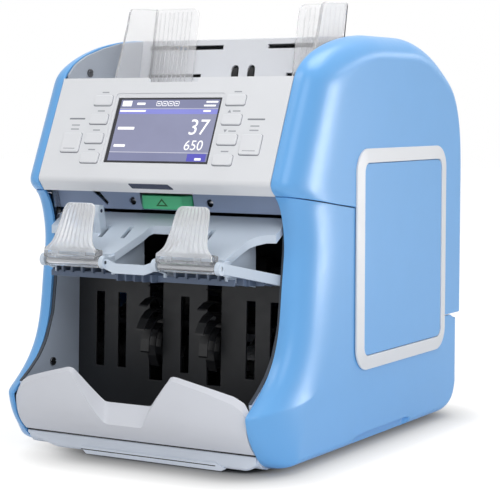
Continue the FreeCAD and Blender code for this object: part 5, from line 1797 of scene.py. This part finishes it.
@dataclass
class Studio:
    """Pale floor, soft lamps, white surroundings and the camera."""

    camera_at: Point = (731.71, -1205.74, 272.60)
    azimuth: float = 30.886
    pitch: float = 4.810
    focal_pixels: float = 1664.93
    sensor: float = 36.0
    far: float = 20.0
    aim: Point = (0.0, 0.0, 0.17)
    ambient: float = 0.38
    floor_half: float = 6.0
    floor_tone: float = 0.22
    floor_bounce: float = 0.92
    floor_roughness: float = 0.9
    # painted shadow: the floor's lift to white fades out near the machine's footprint
    floor_lift_painted_shadow: tuple[Flat, ...] = ((0.02, 0.0), (0.04, 0.22), (0.06, 0.58), (0.085, 0.86), (0.95, 0.97))
    painted_shadow_middle: Flat = (0.025, 0.0)
    painted_shadow_half: Flat = (0.055, 0.13)

    def camera(self) -> None:
        """Set up the camera, turned to the azimuth and tipped down by the pitch."""
        data = bpy.data.cameras.new("viewpoint")
        data.sensor_width = self.sensor
        data.lens = self.focal_pixels / IMAGE_SIZE * self.sensor
        data.clip_end = self.far
        viewpoint = linked("viewpoint", data)
        viewpoint.location = tuple(to_frame(np.array(self.camera_at)))
        viewpoint.rotation_euler = (math.radians(90 - self.pitch), 0.0, math.radians(self.azimuth))
        bpy.context.scene.camera = viewpoint

    def lamp(self, name: str, place: Point, size: Flat, watts: float) -> Piece:
        """Set up one rectangular soft lamp that faces the machine.

        Args:
            name: the lamp's name.
            place: where it stands, in metres.
            size: its width and height.
            watts: its power.

        Returns:
            The lamp.
        """
        data = bpy.data.lights.new(name, "AREA")
        data.shape = "RECTANGLE"
        data.size, data.size_y = size
        data.energy = watts
        lamp = linked(name, data)
        lamp.location = place
        x, y, z = np.array(self.aim) - np.array(place)
        lamp.rotation_euler = (math.atan2(math.hypot(x, y), -z), 0.0, math.atan2(-x, y))
        return lamp

    def by_ray(self, tree: bpy.types.NodeTree, light: float, seen: float) -> Socket:
        """One value for light, another for camera, glossy and transmission rays.

        Args:
            tree: the tree that gets the nodes.
            light: value for rays of light.
            seen: value for rays that are seen.

        Returns:
            The value.
        """
        path = add_node(tree, "LightPath", {}).outputs
        share = path["Is Camera Ray"]
        for kind in ("Is Glossy Ray", "Is Transmission Ray"):
            share = add_node(tree, "Math", {0: share, 1: path[kind]}, operation="MAXIMUM").outputs[0]
        return add_node(tree, "MapRange", {"Value": share, "To Min": light, "To Max": seen}).outputs["Result"]

    def surroundings(self) -> None:
        """Set up a world that is white to the eye and in reflections, and gives a softer ambient light."""
        world = bpy.data.worlds.new("studio")
        world.use_nodes = True
        tree = world.node_tree
        strength = self.by_ray(tree, self.ambient, 1.0)
        fill(tree.nodes["Background"], {"Color": (1.0, 1.0, 1.0, 1.0), "Strength": strength})
        bpy.context.scene.world = world

    def lift(self, tree: bpy.types.NodeTree) -> Socket:
        """Grey level that rises with the distance from the machine's footprint on the floor, so that a
        painted shadow lies round the footprint.

        With p the place, the distance is the length of max(|p - middle| - half, 0).

        Args:
            tree: the floor's nodes.

        Returns:
            The level as a colour.
        """
        way = add_node(tree, "TexCoord", {}).outputs["Object"]
        steps = [("SUBTRACT", (*self.painted_shadow_middle, 0)), ("ABSOLUTE", (0, 0, 0))]
        for operation, operand in steps + [("SUBTRACT", (*self.painted_shadow_half, 0)), ("MAXIMUM", (0, 0, 0))]:
            way = add_node(tree, "VectorMath", {0: way, 1: operand}, operation=operation).outputs["Vector"]
        way = add_node(tree, "VectorMath", {0: way}, operation="LENGTH").outputs["Value"]
        ramp = add_node(tree, "ValToRGB", {"Fac": way})
        stops = ramp.color_ramp.elements
        for place, level in self.floor_lift_painted_shadow:
            stops.new(place).color = (level, level, level, 1.0)
        for spare in (stops[-1], stops[0]):
            stops.remove(spare)
        return ramp.outputs["Color"]

    def floor(self) -> None:
        """Set up a large pale floor that keeps the machine's shadow, adds a painted shadow round its
        footprint and is lifted to white to the eye further out.
        """
        half = self.floor_half
        corners = [(-half, -half, 0), (half, -half, 0), (half, half, 0), (-half, half, 0)]
        mesh = bpy.data.meshes.new("floor")
        mesh.from_pydata(corners, [], [(0, 1, 2, 3)])
        shader = Shader("floor_white")
        tone = self.by_ray(shader.tree, self.floor_bounce, self.floor_tone)
        seen = self.by_ray(shader.tree, 0.0, 1.0)
        fill(shader.surface, {"Base Color": tone, "Emission Color": self.lift(shader.tree)})
        fill(shader.surface, {"Emission Strength": seen, "Roughness": self.floor_roughness})
        fill(shader.surface, {"Specular IOR Level": 0.0})
        mesh.materials.append(shader.material)
        linked("floor", mesh)

    def build(self) -> None:
        """Set up view, light and floor; the last two lamps only show in reflections."""
        bpy.context.scene.view_settings.view_transform = "Standard"
        self.camera()
        self.surroundings()
        self.floor()
        self.lamp("key_lamp", (-0.35, -1.15, 2.1), (1.1, 1.0), 14.2)
        self.lamp("side_lamp", (1.05, -0.85, 0.95), (0.8, 0.8), 5.8)
        self.lamp("top_lamp", (0.35, 0.6, 1.95), (1.0, 1.0), 16.8)
        self.lamp("strip_lamp", (0.96, 0.77, 0.21), (0.28, 0.48), 6.0).visible_diffuse = False
        self.lamp("shoulder_lamp", (0.66, 1.03, 0.64), (0.6, 0.12), 1.0).visible_diffuse = False


def main() -> None:
    """Build every part of the machine in order."""
    logging.basicConfig(level=logging.INFO, format="%(message)s")
    parts = [SideCovers(), SidePanels(), ControlPanel(), Display(), Hopper()]
    for part in parts + [RejectPocket(), StackerPocket(), BaseAndRear(), Studio()]:
        LOG.info("building %s", type(part).__name__)
        part.build()


if __name__ == "__main__":
    main()
